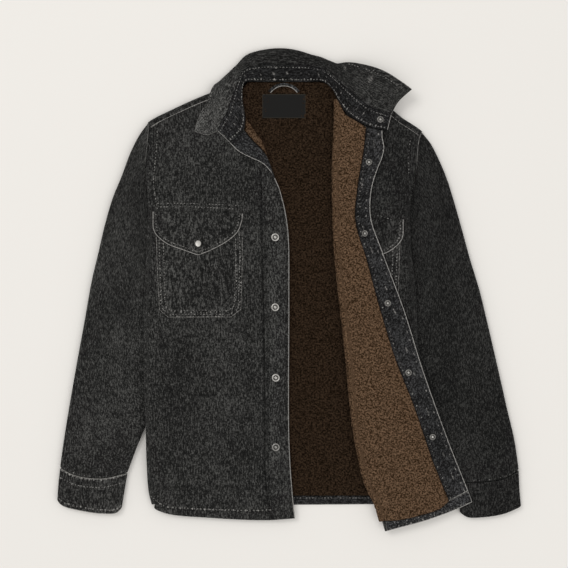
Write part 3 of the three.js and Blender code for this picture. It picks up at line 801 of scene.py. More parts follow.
def grid_faces(rows: int, columns: int, closed: bool = False) -> list[tuple[int, ...]]:
    """Faces of a grid of points, rows of columns, closed round its columns if told so."""
    pairs = [(i, (i + 1) % columns) for i in range(columns if closed else columns - 1)]
    starts = [(j * columns, (j + 1) * columns) for j in range(rows - 1)]
    return [(low + i, low + k, high + k, high + i) for low, high in starts for i, k in pairs]


def walled(walls: Sequence[Array], closed: bool = False) -> tuple[Array, list[tuple[int, ...]]]:
    """Points and faces of two walls, each a grid of points.

    Args:
        walls: The outer and the inner wall.
        closed: Whether they close round their columns.
    Returns:
        The points and the faces of both.
    """
    rows, columns = walls[0].shape[:2]
    faces = grid_faces(rows, columns, closed)
    faces += [tuple(k + rows * columns for k in face) for face in faces]
    return np.concatenate([wall.reshape(-1, 3) for wall in walls]), faces


@dataclass
class Roll:
    """Cloth that turns over along a path: half a pipe between two levels.

    away is the side that it bulges to: 1 to the right of the path, -1 to the left.
    """

    path: Array
    away: float
    outer: float
    thickness: float
    middle: float
    rise: Field
    relief: Field | None = None
    arcs: int = 12
    # tone: painted light and shade, a factor on the roll's colour
    tone: float = 1.0
    offset: float = 0.0
    wear: float = 0.0
    close: tuple[bool, bool] = (True, False)  # whether its lower and its upper end are cut edges
    join: float = 0.0  # how high the relief stands at its upper end
    tail: float = 0.0  # flat cloth past its upper end

    TAIL_RIM, TAIL_WEAR = 1.2 * MM, 0.9  # of the tail's cut edge

    def skin(self) -> Skin:
        """The roll's outer and inner faces, closed at its ends."""
        out = -self.away * Sheet.across(self.path)
        angles = np.linspace(-math.pi / 2, math.pi / 2, self.arcs + 1)
        flat = np.zeros(self.arcs + 1)
        if self.tail:
            angles = np.append(angles, [math.pi / 2, math.pi / 2])
            flat = np.append(flat, [self.tail - self.TAIL_RIM, self.tail])
        length = arc(self.path)
        walls = []
        for radius in (self.outer, self.outer - self.thickness):
            plan = self.path[:, None] + out[:, None] * (radius * np.cos(angles) - flat)[None, :, None]
            z = self.rise(plan.reshape(-1, 2)).reshape(plan.shape[:2]) + self.middle + radius * np.sin(angles)
            walls.append(np.concatenate([plan, z[..., None]], 2))
        if self.relief is not None:
            girth = self.outer * (angles + math.pi / 2)
            place = np.stack(np.broadcast_arrays(girth[None] + self.offset, length[:, None]), -1)
            lift = self.relief(place.reshape(-1, 2)).reshape(place.shape[:2])
            full = np.sin(np.linspace(0, math.pi, len(angles))) ** 0.5
            lift = lift * full + self.join * np.maximum(0, np.sin(angles)) * (1 - full)
            walls[0][..., :2] += out[:, None] * (lift * np.cos(angles))[..., None]
            walls[0][..., 2] += lift * np.sin(angles)
        rows, columns = walls[0].shape[:2]
        points, faces = walled(walls)
        inner = rows * columns
        for row in (0, inner - columns):
            faces += [(k, k + 1, k + 1 + inner, k + inner) for k in range(row, row + columns - 1)]
        for shut, column in zip(self.close, (0, columns - 1)):
            starts = range(column, (rows - 1) * columns + column, columns) if shut else ()
            faces += [(k, k + columns, k + columns + inner, k + inner) for k in starts]
        girth = np.tile(np.tile(self.outer * angles, rows), 2)
        cloth = np.column_stack([
            girth, np.tile(np.repeat(length, columns), 2), np.full(len(points), self.offset)
        ])
        skin = Skin.bare(points, faces, cloth)
        skin.tone[:] = self.tone
        skin.wear = self.wear * np.cos(np.tile(np.tile(angles, rows), 2)) ** 2
        if self.tail:
            skin.wear[np.arange(len(points)) % columns == columns - 1] = self.TAIL_WEAR
        if self.relief is not None:
            skin.pile[:inner] = lift.ravel() / max(lift.max(), 1e-9)
        return skin


# ---------------------------------------------------------------------------
# Lines of the pattern as it lies, each from the hem up or from -X to +X
# ---------------------------------------------------------------------------
class Pattern:
    """Seams and edges of the body."""

    RIGHT_SIDE = Line.mm(
        (-226, -366), (-231, -343), (-235, -231), (-238, -130), (-237, -19), (-233, 83),
        (-230, 138),
    )
    RIGHT_ARMHOLE = Line.mm((-230, 138), (-232, 175), (-235, 211), (-231, 253), (-229, 282))
    LEFT_SIDE = Line.mm((226, -367), (228, -240), (227, -104), (224, -5), (216, 65), (213, 138))
    LEFT_ARMHOLE = Line.mm((213, 138), (217, 170), (223, 202), (228, 253), (231, 268))
    RIGHT_FLANK = Line.through(RIGHT_SIDE.points, RIGHT_ARMHOLE.points[1:-1])
    LEFT_FLANK = Line.through(LEFT_SIDE.points, LEFT_ARMHOLE.points[1:-1])
    RIGHT_HEM = Line.mm(
        (-226, -366), (-221, -373), (-208, -380), (-188, -385), (-133, -389.5), (-76, -393),
        (-26, -394), (19, -391),
    )
    RIGHT_EDGE = Line.mm(
        (19, -391), (14, -342), (9, -257), (9, -19), (8, 88), (3, 129), (-3, 155), (-8, 172),
        (-15, 188),
    )
    RIGHT_PLACKET_SEAM = Line.mm(
        (-19, -393), (-30, -323), (-31, -240), (-32, -87), (-35, 49), (-37.5, 205),
    )
    LAPEL_EDGE = Line.mm(
        (-92, 248), (-77, 234), (-58, 224), (-37, 214), (-29, 207), (-21, 197), (-15, 188),
    )
    LAPEL_SEAM = Line.mm((-68, 270), (-53, 252), (-38, 237), (-30, 227), (-23, 211), (-15, 188))
    LAPEL_ROLL = Line.mm(
        (-64, 291), (-58, 282), (-48, 267), (-37, 252), (-29, 232), (-22, 213), (-15, 188),
    )
    RIGHT_NECK = Line.mm((-68, 270), (-66, 292), (-70, 318), (-71, 338))
    RIGHT_SHOULDER = Line.mm(
        (-229, 285), (-222, 290), (-211, 296), (-194, 304), (-160, 320), (-124, 335), (-71, 356),
    )
    RIGHT_YOKE_SEAM = Line.mm(
        (-226, 278), (-211, 288), (-194, 296.5), (-160, 312), (-129, 325), (-71, 347),
    )
    LEFT_SHOULDER = Line.mm((88, 357), (140, 329), (180, 308), (197, 294), (214, 283), (226, 275), (232, 270))
    LEFT_YOKE_SEAM = Line.mm(
        (88, 348), (140, 319), (180, 298.5), (197, 288), (221, 274), (230, 264),
    )
    BACK_HEM = Line.mm((-226, -366), (-150, -369), (19, -369), (155, -368), (226, -367))
    FOLD = Line.mm(
        (175, -411), (162, -367), (144, -328), (125, -240), (113, -121), (98, 15), (92, 83),
        (90, 151), (90, 219), (93, 287), (93, 322),
    )
    TURNED_NECK = Line.mm((93, 322), (104, 297), (121, 286), (143, 275), (167, 269))
    TURNED_EDGE = Line.mm(
        (320, -362), (304, -325), (272, -240), (235, -138), (203, -36), (165, 66), (147, 120),
        (148, 168), (158, 202), (167, 224), (170, 241), (167, 258), (167, 269),
    )
    TURNED_SEAM = Line.mm(
        (280, -360), (252, -291), (216, -189), (189, -121), (158, -19), (140, 49), (121, 117),
        (124, 168), (135, 236), (139, 275),
    )
    TURNED_HEM = Line.mm(
        (175, -411), (197, -405), (231, -396), (265, -385), (299, -372), (320, -362),
    )
    TURNED_LINING_HEM = Line.mm((172, -394), (197, -392), (231, -384), (265, -373), (280, -360))
    TURNED_FACING_HEM = Line.mm((280, -360), (313, -343))
    POCKET_RIGHT = Line.mm(
        (-217, 100), (-214, 15), (-211, -35), (-196, -48), (-90, -48), (-73, -35), (-70, 54),
        (-71, 100),
    )
    FLAP_RIGHT = Line.mm(
        (-222, 131), (-222, 105), (-218, 94), (-199, 77), (-168, 65), (-146, 57), (-126, 65),
        (-95, 82), (-78, 98), (-71, 117), (-70, 129),
    )
    POCKET_SHIFT = (-20 * MM, -13 * MM)


@dataclass(frozen=True)
class SleevePattern:
    """A sleeve: its armhole from the shoulder down, its long edges, its cuff seam and cuff."""

    armhole: Line
    outer: Line
    inner: Line
    seam: Line
    end: Line
    cuff_outer: Line
    cuff_inner: Line

    def hidden_edge(self) -> Array:
        """The inner edge down to the end of the cuff."""
        return np.concatenate([self.inner.points, self.cuff_inner.points[1:]])


RIGHT_SLEEVE = SleevePattern(
    armhole=Line.mm(
        (-230, 285), (-232, 253), (-235.8, 211), (-232.8, 175), (-231, 140), (-218, 106),
        (-178, 88),
    ),
    outer=Line.mm(
        (-230, 285), (-244.5, 266), (-260.5, 236), (-278, 190), (-292, 156), (-305, 112),
        (-317, 61), (-328, 14), (-340, -53), (-358.5, -155), (-375.5, -257), (-382, -304),
    ),
    inner=Line.mm(
        (-178, 88), (-180, 20), (-195, -80), (-215, -170), (-235, -231), (-251, -270),
        (-267, -313),
    ),
    seam=Line.mm((-382, -304), (-355, -317), (-311, -322), (-267, -313)),
    end=Line.mm(
        (-387, -361), (-377, -370), (-347, -378), (-313, -383), (-286, -382), (-277, -374),
    ),
    cuff_outer=Line.mm((-382, -305), (-385, -332), (-387, -361)),
    cuff_inner=Line.mm((-267, -314), (-272, -343), (-277, -374)),
)
LEFT_SLEEVE = SleevePattern(
    armhole=Line.mm(
        (234, 268), (229.2, 253), (224.2, 202), (218.2, 170), (214.2, 140), (202, 106),
        (172, 88),
    ),
    outer=Line.mm(
        (234, 268), (249.5, 249), (264, 221), (277.5, 189), (289.5, 151), (304, 100),
        (318, 49), (333.5, -2), (346, -53), (369.5, -155), (381, -206), (393, -257),
        (400.5, -308),
    ),
    inner=Line.mm(
        (172, 88), (180, 20), (200, -80), (225, -170), (250, -231), (275, -280), (300, -330),
    ),
    seam=Line.mm((400.5, -308), (376, -322), (342, -328), (300, -330)),
    end=Line.mm((404.5, -371), (376, -383), (342, -389), (313, -389), (300, -381)),
    cuff_outer=Line.mm((400.5, -309), (402, -342), (404.5, -371)),
    cuff_inner=Line.mm((300, -331), (299.5, -355), (300, -381)),
)


# Sections of the collar from its right end to its left end: neck seam, seam of the leaf, roll of
# the leaf, free edge, in millimetres, and how far the leaf opens at its roll
COLLAR = (
    ((-92, 249, 13.9), (-113, 269, 14), (-131, 262, 14), (-152, 268, 14), 0),
    ((-81, 258, 13.9), (-107, 283, 14), (-130, 277, 14.5), (-149, 281, 14), 0),
    ((-69, 272, 13.9), (-97, 301, 14.5), (-121, 300, 15.5), (-141, 301, 14), 0),
    ((-66, 292, 13.9), (-91, 318, 15), (-115, 322, 15.5), (-131, 319, 14.4), 0),
    ((-70, 314, 13.9), (-84, 337, 15), (-112, 346, 14.6), (-119, 346, 13.2), 1),
    ((-71, 335, 13.9), (-77, 356, 15), (-101, 361, 8), (-93, 357, 2.5), 7),
    ((-66, 352, 13.9), (-68, 373, 14), (-84, 378, 7), (-76, 372, 1.6), 8),
    ((-38, 353, 10), (-42, 381.5, 12), (-58, 401, 6), (-48, 370, 1.6), 7),
    ((0, 353.3, 7.6), (0, 382.5, 9.5), (0, 409, 5.4), (0, 362, 1.6), 6),
    ((38, 353, 9), (40, 381, 10.5), (47, 399, 5.6), (40, 366, 1.6), 6),
    ((66, 352.5, 13.4), (67, 374, 14), (76, 389, 8), (72, 376, 3), 7),
    ((83, 338, 16), (88, 358, 16.5), (99, 377, 14.5), (104, 385.5, 12), 1),
    ((92, 318, 24.2), (107, 340, 21), (121, 361, 22), (137, 381, 20), 0),
    ((106, 299, 24), (126, 324, 24), (146, 347, 27), (170, 369, 27), 0),
    ((124, 286, 22.5), (146, 308, 25), (170, 333, 30), (199, 350, 32), 0),
    ((150, 274, 21.5), (166, 301, 24.5), (188, 322, 29), (215, 338, 33), 0),
    ((176, 270, 21), (182, 296, 23), (194, 317, 28), (216, 337, 33), 0),
)

STUD_PLACES = ((-15, 88), (-15, -31), (-14, -151), (-14, -269))
SOCKET_PLACES = ((144, 215), (137, 94), (175, -24), (210, -141), (251, -250))
STAND_SOCKET = (163, 287, 24.9)
CAP_PLACE = (-146, 77)


# ---------------------------------------------------------------------------
# Heights
# ---------------------------------------------------------------------------
def body_rise(points: Array) -> Array:
    """How far the body is lifted where it lies on a sleeve, at points in plan."""
    x, y = points[:, 0], points[:, 1]
    edges = []
    for side in (RIGHT_SLEEVE, LEFT_SLEEVE):
        path = side.hidden_edge()[::-1]
        edges.append(np.interp(y, path[:, 1], np.abs(path[:, 0])))
    over = np.abs(x) - np.where(x < 0, edges[0], edges[1])
    lift = Tube.SLEEVE_HEIGHT + Cloth.GAP
    return lift * smooth(-54 * MM, -16 * MM, over) * (1 - smooth(169 * MM, 230 * MM, y))


def front_rise(points: Array) -> Array:
    """The right front's lift, which sinks a little past the back's hem, with its creases."""
    droop = 5 * MM * (1 - smooth(-420 * MM, -378 * MM, points[:, 1]))
    return body_rise(points) - droop + total(RIGHT_CREASES, points)


def turned_rise(points: Array) -> Array:
    """The turned front's lift: it leaves the body's edge and comes down on the sleeve."""
    x = points[:, 0]
    on_sleeve = Tube.SLEEVE_HEIGHT + 2 * Cloth.GAP - Level.TURNED
    held = body_rise(np.column_stack([np.minimum(x, 232 * MM), points[:, 1]]))
    share = smooth(238 * MM, 305 * MM, x)
    from_fold = smooth(0, 25 * MM, near(points, Pattern.FOLD.trace(15 * MM))[0])
    return held + (on_sleeve - held) * share + from_fold * total(TURNED_CREASES, points)


# Creases: height, width, then points, in millimetres. Troughs are negative.
RIGHT_CREASES = (
    crease(1.6, 9, (-222, 60), (-190, 20), (-150, 5)),
    crease(-1.4, 8, (-232, 30), (-200, -20), (-160, -60)),
    crease(1.3, 12, (-60, 60), (-52, -40), (-60, -160)),
    crease(-1.2, 10, (-100, -80), (-92, -190), (-80, -300)),
    crease(1.2, 14, (-150, -90), (-140, -220), (-146, -330)),
    crease(-1.1, 9, (-195, -90), (-188, -200), (-196, -320)),
    crease(1.0, 7, (-226, -190), (-190, -210), (-150, -214)),
    crease(-1.0, 6, (-228, -250), (-180, -262), (-120, -258)),
    crease(1.2, 8, (-60, 200), (-90, 215), (-140, 222)),
    crease(-1.2, 7, (-215, 240), (-170, 262), (-120, 300)),
    crease(1.4, 9, (-180, 140), (-140, 160), (-90, 158)),
    crease(0.9, 6, (-40, -290), (-60, -330), (-110, -350)),
)
TURNED_CREASES = (
    crease(1.6, 12, (120, 60), (140, -60), (170, -180)),
    crease(-1.2, 10, (150, -90), (185, -220), (200, -330)),
    crease(1.4, 10, (110, 250), (118, 190), (112, 130)),
    crease(-1.0, 9, (225, -250), (240, -320), (250, -380)),
)
LEFT_CREASES = (
    crease(1.2, 9, (180, 240), (200, 180), (196, 110)),
    crease(-1.1, 8, (205, 60), (214, -20), (216, -90)),
)
SLEEVE_CREASES = (
    crease(1.8, 10, (-240, 200), (-270, 160), (-300, 130)),
    crease(-1.4, 8, (-236, 150), (-262, 120), (-300, 90)),
    crease(1.5, 11, (-250, 60), (-290, 20), (-325, 0)),
    crease(-1.3, 9, (-250, -20), (-300, -50), (-340, -60)),
    crease(1.2, 10, (-262, -120), (-310, -140), (-352, -150)),
    crease(-1.2, 12, (-290, 60), (-305, -60), (-330, -200)),
    crease(1.0, 14, (-262, -40), (-285, -160), (-310, -290)),
    crease(1.4, 7, (-275, -270), (-320, -285), (-372, -270)),
    crease(-1.2, 7, (-262, -232), (-310, -240), (-360, -226)),
    crease(1.4, 10, (240, 180), (270, 150), (296, 110)),
    crease(-1.2, 8, (228, 120), (262, 96), (300, 80)),
    crease(1.4, 10, (240, 10), (290, -30), (330, -50)),
    crease(-1.3, 10, (240, -70), (300, -100), (350, -110)),
    crease(1.1, 13, (300, 40), (325, -90), (352, -230)),
    crease(-1.1, 9, (300, -180), (345, -200), (380, -216)),
    crease(1.2, 7, (310, -290), (350, -296), (394, -280)),
)


def left_rise(points: Array) -> Array:
    """The left front's lift, with creases that fade towards the fold."""
    from_fold = smooth(10 * MM, 45 * MM, near(points, Pattern.FOLD.trace(15 * MM))[0])
    return body_rise(points) + from_fold * total(LEFT_CREASES, points)


# ---------------------------------------------------------------------------
# Back, fronts and pockets
# ---------------------------------------------------------------------------
def edge_roll(line: Line, away: float, rise: Field, **sizes: object) -> Roll:
    """The denim's roll over a side or a shoulder of the body."""
    path = Edge(line, free=False).path()
    return Roll(path, away, EDGE_ROLL, Cloth.DENIM, EDGE_ROLL, rise, **sizes)


def turned_area(length: float, radius: float) -> float:
    """Area of the cloth that turns over along a length, half round at a radius."""
    return length * math.pi * radius


def straight(*points: Sequence[float], wear: float = 0.0) -> Edge:
    """A free edge along two points in millimetres."""
    return Edge(Line.mm(*points), wear=wear)


@dataclass(frozen=True)
class Finishes:
    """The jacket's materials."""

    denim: bpy.types.Material
    facing: bpy.types.Material
    fleece: bpy.types.Material
    label: bpy.types.Material
    metal: bpy.types.Material
    thread: bpy.types.Material
    seam_thread: bpy.types.Material


@dataclass
class Back:
    """The back: panel, yoke, fleece lining and the facing of its hem."""

    finishes: Finishes
    yoke_seam: float = 205 * MM
    lining_top: float = 354 * MM
    lining_hem: float = -353 * MM
    nub: float = 2.0 * MM
    pitch: float = 3.9 * MM

    INSET = 1 * MM  # of the armholes, behind those of the fronts
    OVER_SHOULDERS = 0.36 * 0.019  # cloth of the yoke that turns over both shoulders
    # Ring round the part of the lining that the fronts leave open, in millimetres
    SEEN = (
        (2, -352), (176, -352), (140, -240), (110, -100), (86, 80), (84, 350), (-66, 350), (-66, 268),
        (-6, 190), (2, 60),
    )

    def build(self) -> None:
        """Builds all pieces of the back."""
        self.panel()
        self.yoke()
        self.lining()
        self.hem_facing()

    def panel(self) -> None:
        """The back panel, flat on the ground between the sleeves."""
        hem = Pattern.BACK_HEM.points.copy()
        hem[:, 0] -= np.sign(hem[:, 0]) * np.where(abs(hem[:, 0]) > 200 * MM, SIDE_TUCK, 0)
        low, top = 140 * MM, self.yoke_seam - Cloth.GAP
        sheet = Sheet(
            [
                Edge(Line(hem), wear=0.5),
                Edge(Pattern.LEFT_SIDE.shifted(-SIDE_TUCK)),
                Edge(Pattern.LEFT_ARMHOLE.above(low).below(top).shifted(-self.INSET)),
                Edge(Pattern.RIGHT_ARMHOLE.above(low).below(top).shifted(self.INSET).reversed()),
                Edge(Pattern.RIGHT_SIDE.shifted(SIDE_TUCK).reversed()),
            ],
            raised(body_rise, Level.BACK), Cloth.DENIM, step=9 * MM, offset=0.1,
            seams=[Seam(Line(hem).shifted(0, 22 * MM), pucker=0.3 * MM, wear=0.5)],
        )
        piece = Piece("back_panel", sheet.skin(), self.finishes.denim, "denim")
        piece.declare(sheet.area())

    def yoke(self) -> None:
        """The yoke, which rolls over the shoulders to its seams with the fronts."""
        right, left = (s.shifted(0, -EDGE_ROLL) for s in (Pattern.RIGHT_SHOULDER, Pattern.LEFT_SHOULDER))
        armholes = (Pattern.LEFT_ARMHOLE, Pattern.RIGHT_ARMHOLE)
        left_arm, right_arm = (Line(a.above(self.yoke_seam).points[:-1]) for a in armholes)
        under_stand = np.array([(60, 360), (-60, 360)]) * MM
        sheet = Sheet(
            [
                Edge(left_arm.shifted(-self.INSET)),
                Edge(left.reversed(), free=False),
                Edge(Line.through(left.points[:1], under_stand, right.points[-1:])),
                Edge(right.reversed(), free=False),
                Edge(right_arm.shifted(self.INSET).reversed()),
                Edge(Line.mm((-234, 205), (222, 205))),
            ],
            raised(body_rise, Level.BACK), Cloth.DENIM, step=9 * MM, offset=0.2,
        )
        over = [
            edge_roll(
                # tone 0.9: painted shade on the roll over the shoulder
                line, -1, body_rise, close=(False, True), offset=0.2, wear=0.3, tail=4.2 * MM, tone=0.9
            )
            for line in (right, left)
        ]
        piece = Piece("back_yoke", Skin.of(sheet, *over), self.finishes.denim, "denim")
        piece.declare(sheet.area() + self.OVER_SHOULDERS)

    def lining(self) -> None:
        """The fleece of the back, seen between the fronts and in the neck."""
        slope = lambda line: line.shifted(0, -LINING_TUCK - 3 * MM)
        top = self.lining_top / MM
        sheet = Sheet(
            [
                Edge(Pattern.LEFT_FLANK.shifted(-LINING_TUCK).above(self.lining_hem)),
                Edge(slope(Pattern.LEFT_SHOULDER.part(0, -1)).reversed()),
                straight((78, top), (-62, top)),
                Edge(slope(Pattern.RIGHT_SHOULDER.part(1, None)).reversed()),
                Edge(Pattern.RIGHT_FLANK.shifted(LINING_TUCK).above(self.lining_hem).reversed()),
                straight((-213, -353), (216, -353)),
            ],
            raised(body_rise, Level.BACK_LINING), Cloth.PILE, rim=2 * MM, step=9 * MM, offset=0.3,
            # tone 0.25: painted shade, the lining lies in the shadow of the fronts and collar
            tone=0.25,
        )
        seen = np.array(self.SEEN) * MM
        sheet.fine = (seen, 1.8 * MM)
        sheet.relief = lambda p: self.nub * np.where(inside(p, seen), nubs(p, self.pitch, 3.0), 0.4)
        piece = Piece("back_lining", sheet.skin(), self.finishes.fleece, "fleece")
        piece.declare(sheet.area())

    def hem_facing(self) -> None:
        """The turned-up hem, a band of the same denim along the lining's lower edge."""
        sheet = Sheet(
            [
                straight((-215, -367), (218, -367), wear=0.5),
                straight((218, -367), (218, -353.3)),
                straight((218, -353.3), (-215, -353.3), wear=0.4),
                straight((-215, -353.3), (-215, -367)),
            ],
            raised(body_rise, Level.BACK_LINING), Cloth.DENIM, step=3.5 * MM, offset=0.4,
            # tone 0.6: painted shade on the hem band beside the fleece
            grain=math.pi / 2, tone=0.6,
            seams=[Seam(Line.mm((-213, -357), (216, -357)), pucker=0.6 * MM, wear=0.45, seed=1.0)],
        )
        piece = Piece("back_hem_facing", sheet.skin(), self.finishes.facing, "denim_inside")
        piece.sew([Stitches.on(sheet.seams[0].line, sheet.top)], self.finishes.thread)
        piece.declare(sheet.area())


@dataclass
class RightFront:
    """The right front, closed over the back, the top corner of its edge turned out as a lapel."""

    finishes: Finishes
    lining_hem: float = -360 * MM
    lining_edge: float = -368 * MM

    def seams(self) -> list[Seam]:
        """Seams that show on the shell."""
        hem = Line.mm((-228, -352), (-204, -369), (-162, -373.5), (-105, -376), (-49, -377), (14, -374))
        armhole = Line.mm((-216, 276), (-216, 253), (-219, 219), (-221, 185), (-219, 162), (-214, 134))
        flap = Line.mm((-216, 139), (-150, 139), (-74, 136))
        placket = Pattern.RIGHT_PLACKET_SEAM.shifted(-2 * MM)
        yoke = Pattern.RIGHT_YOKE_SEAM.shifted(0, -YOKE_SEAM)
        return [
            Seam(hem, pucker=0.6 * MM, reach=6 * MM, groove=0.6 * MM, wear=0.85, seed=0.4),
            Seam(armhole, pucker=0.3 * MM, reach=3 * MM, groove=0.5 * MM, wear=0.55, wave=9 * MM, seed=2.9),
            Seam(flap, pucker=0.45 * MM, reach=4 * MM, wear=0.6, wave=5.4 * MM, seed=1.2),
            Seam(placket, pucker=0.3 * MM, groove=0.8 * MM, seed=1.3),
            Seam(yoke, pucker=0.3 * MM, groove=0.3 * MM, wear=0.3, seed=2.1),
        ]

    def build(self) -> None:
        """Builds the right front's shell, lining, placket and facing."""
        self.shell()
        self.lining()
        self.placket()
        self.facing()

    def shell(self) -> None:
        """The shell and the side where it wraps round the back's edge."""
        side = Pattern.RIGHT_SIDE.shifted(EDGE_ROLL)
        hem = Line.through(side.points[:1], Pattern.RIGHT_HEM.points[1:])
        sheet = Sheet(
            [
                Edge(hem, wear=0.6),
                Edge(Pattern.RIGHT_EDGE, wear=0.9),
                Edge(Pattern.LAPEL_SEAM.reversed()),
                Edge(Pattern.RIGHT_NECK),
                Edge(Pattern.RIGHT_YOKE_SEAM.shifted(0, -YOKE_GAP).reversed(), wear=1.0),
                Edge(Pattern.RIGHT_ARMHOLE.reversed()),
                Edge(side.reversed(), free=False),
            ],
            raised(front_rise, Level.FRONT), Cloth.DENIM, step=3.6 * MM, seams=self.seams(),
        )
        roll = edge_roll(side, -1, lambda p: front_rise(p) + sheet.lift(p), wear=0.25)
        piece = Piece("front_right", Skin.of(sheet, roll), self.finishes.denim, "denim")
        rows = [seam.line for seam in sheet.seams[:3]]
        rows.append(rows[-1].shifted(0, 6 * MM))
        piece.sew([Stitches.on(row, sheet.top) for row in rows], self.finishes.thread)
        piece.declare(sheet.area() + turned_area(0.5, EDGE_ROLL))

    def lining(self) -> None:
        """The fleece under the shell, which shows in the strip beside the turned lapel."""
        sheet = Sheet(
            [
                Edge(Pattern.RIGHT_EDGE.shifted(-4 * MM).above(self.lining_edge)),
                Edge(Pattern.LAPEL_ROLL.reversed()),
                Edge(Pattern.RIGHT_NECK.part(1, -1)),
                Edge(Pattern.RIGHT_YOKE_SEAM.part(1, None).shifted(0, -LINING_TUCK).reversed()),
                Edge(Pattern.RIGHT_FLANK.shifted(LINING_TUCK).above(self.lining_hem).reversed()),
                straight((-220, -360), (10, -368)),
            ],
            raised(front_rise, Level.FRONT_LINING), Cloth.PILE, rim=2 * MM, step=9 * MM,
            # tone 0.5: painted shade on the lining
            offset=0.5, tone=0.5,
        )
        strip = Sheet(
            [
                Edge(Pattern.LAPEL_SEAM.shifted(2 * Cloth.SEAM).part(0, 4)),
                Edge(Pattern.LAPEL_ROLL.part(0, 5).reversed()),
            ],
            raised(front_rise, Level.FRONT_LINING), Level.ON_FRONT + Cloth.DENIM - Level.FRONT_LINING,
            # tone 0.8: painted shade on the strip of fleece
            rim=2.2 * MM, step=1.6 * MM, offset=0.6, tone=0.8,
            relief=lambda p: 2.2 * MM * nubs(p, 4.4 * MM, 8.0),
        )
        piece = Piece("front_right_lining", Skin.of(sheet, strip), self.finishes.fleece, "fleece")
        piece.declare(sheet.area())

    def placket(self) -> None:
        """The band of the front edge that carries the studs."""
        hem = Pattern.RIGHT_HEM.points[-2:].copy()
        hem[:, 0], hem[:, 1] = np.maximum(hem[:, 0], -19 * MM), hem[:, 1] + Cloth.GAP
        edge, inner = Pattern.RIGHT_EDGE, Pattern.RIGHT_PLACKET_SEAM
        sheet = Sheet(
            [
                Edge(Line(hem), wear=0.7),
                Edge(edge.shifted(-Cloth.GAP), wear=1.3),
                Edge(Pattern.LAPEL_EDGE.part(4, -1).shifted(-3 * Cloth.SEAM, -2 * Cloth.SEAM).reversed()),
                Edge(inner.reversed()),
            ],
            # tone 1.15: painted light on the placket
            raised(front_rise, Level.ON_FRONT), Cloth.BAND, step=2.6 * MM, offset=0.7, tone=1.15,
            seams=[
                Seam(edge.shifted(-5 * MM), pucker=0.4 * MM, groove=0.4 * MM, wave=6 * MM, seed=0.9),
                Seam(inner.shifted(4 * MM), pucker=0.3 * MM, groove=0.5 * MM, wear=0.2, seed=2.2),
                Seam(inner.shifted(11 * MM), pucker=0.25 * MM, wear=0.3, wave=14 * MM, seed=3.2),
            ],
        )
        piece = Piece("front_right_placket", sheet.skin(), self.finishes.denim, "denim")
        row = Stitches.on(sheet.seams[1].line.above(-388 * MM), sheet.top, within=sheet.ring())
        piece.sew([row], self.finishes.seam_thread)
        piece.declare(sheet.area())

    def facing(self) -> None:
        """The corner of the lapel, turned out so that its facing shows."""
        sheet = Sheet(
            [
                Edge(Pattern.LAPEL_EDGE.part(0, -1), wear=1.3),
                Edge(Pattern.LAPEL_SEAM.part(0, -1).reversed()),
                Edge(Line.mm((-68, 270), (-81, 258), (-92, 248))),
            ],
            raised(front_rise, Level.ON_FRONT), Cloth.DENIM, step=2.4 * MM, offset=0.8,
            # tone 0.75: painted shade on the turned-out facing
            grain=0.9, tone=0.75,
            seams=[Seam(Pattern.LAPEL_EDGE.shifted(3 * MM, 4 * MM), pucker=0.4 * MM, wear=0.3, seed=1.1)],
        )
        piece = Piece("front_right_facing", sheet.skin(), self.finishes.facing, "denim_inside")
        piece.declare(sheet.area())


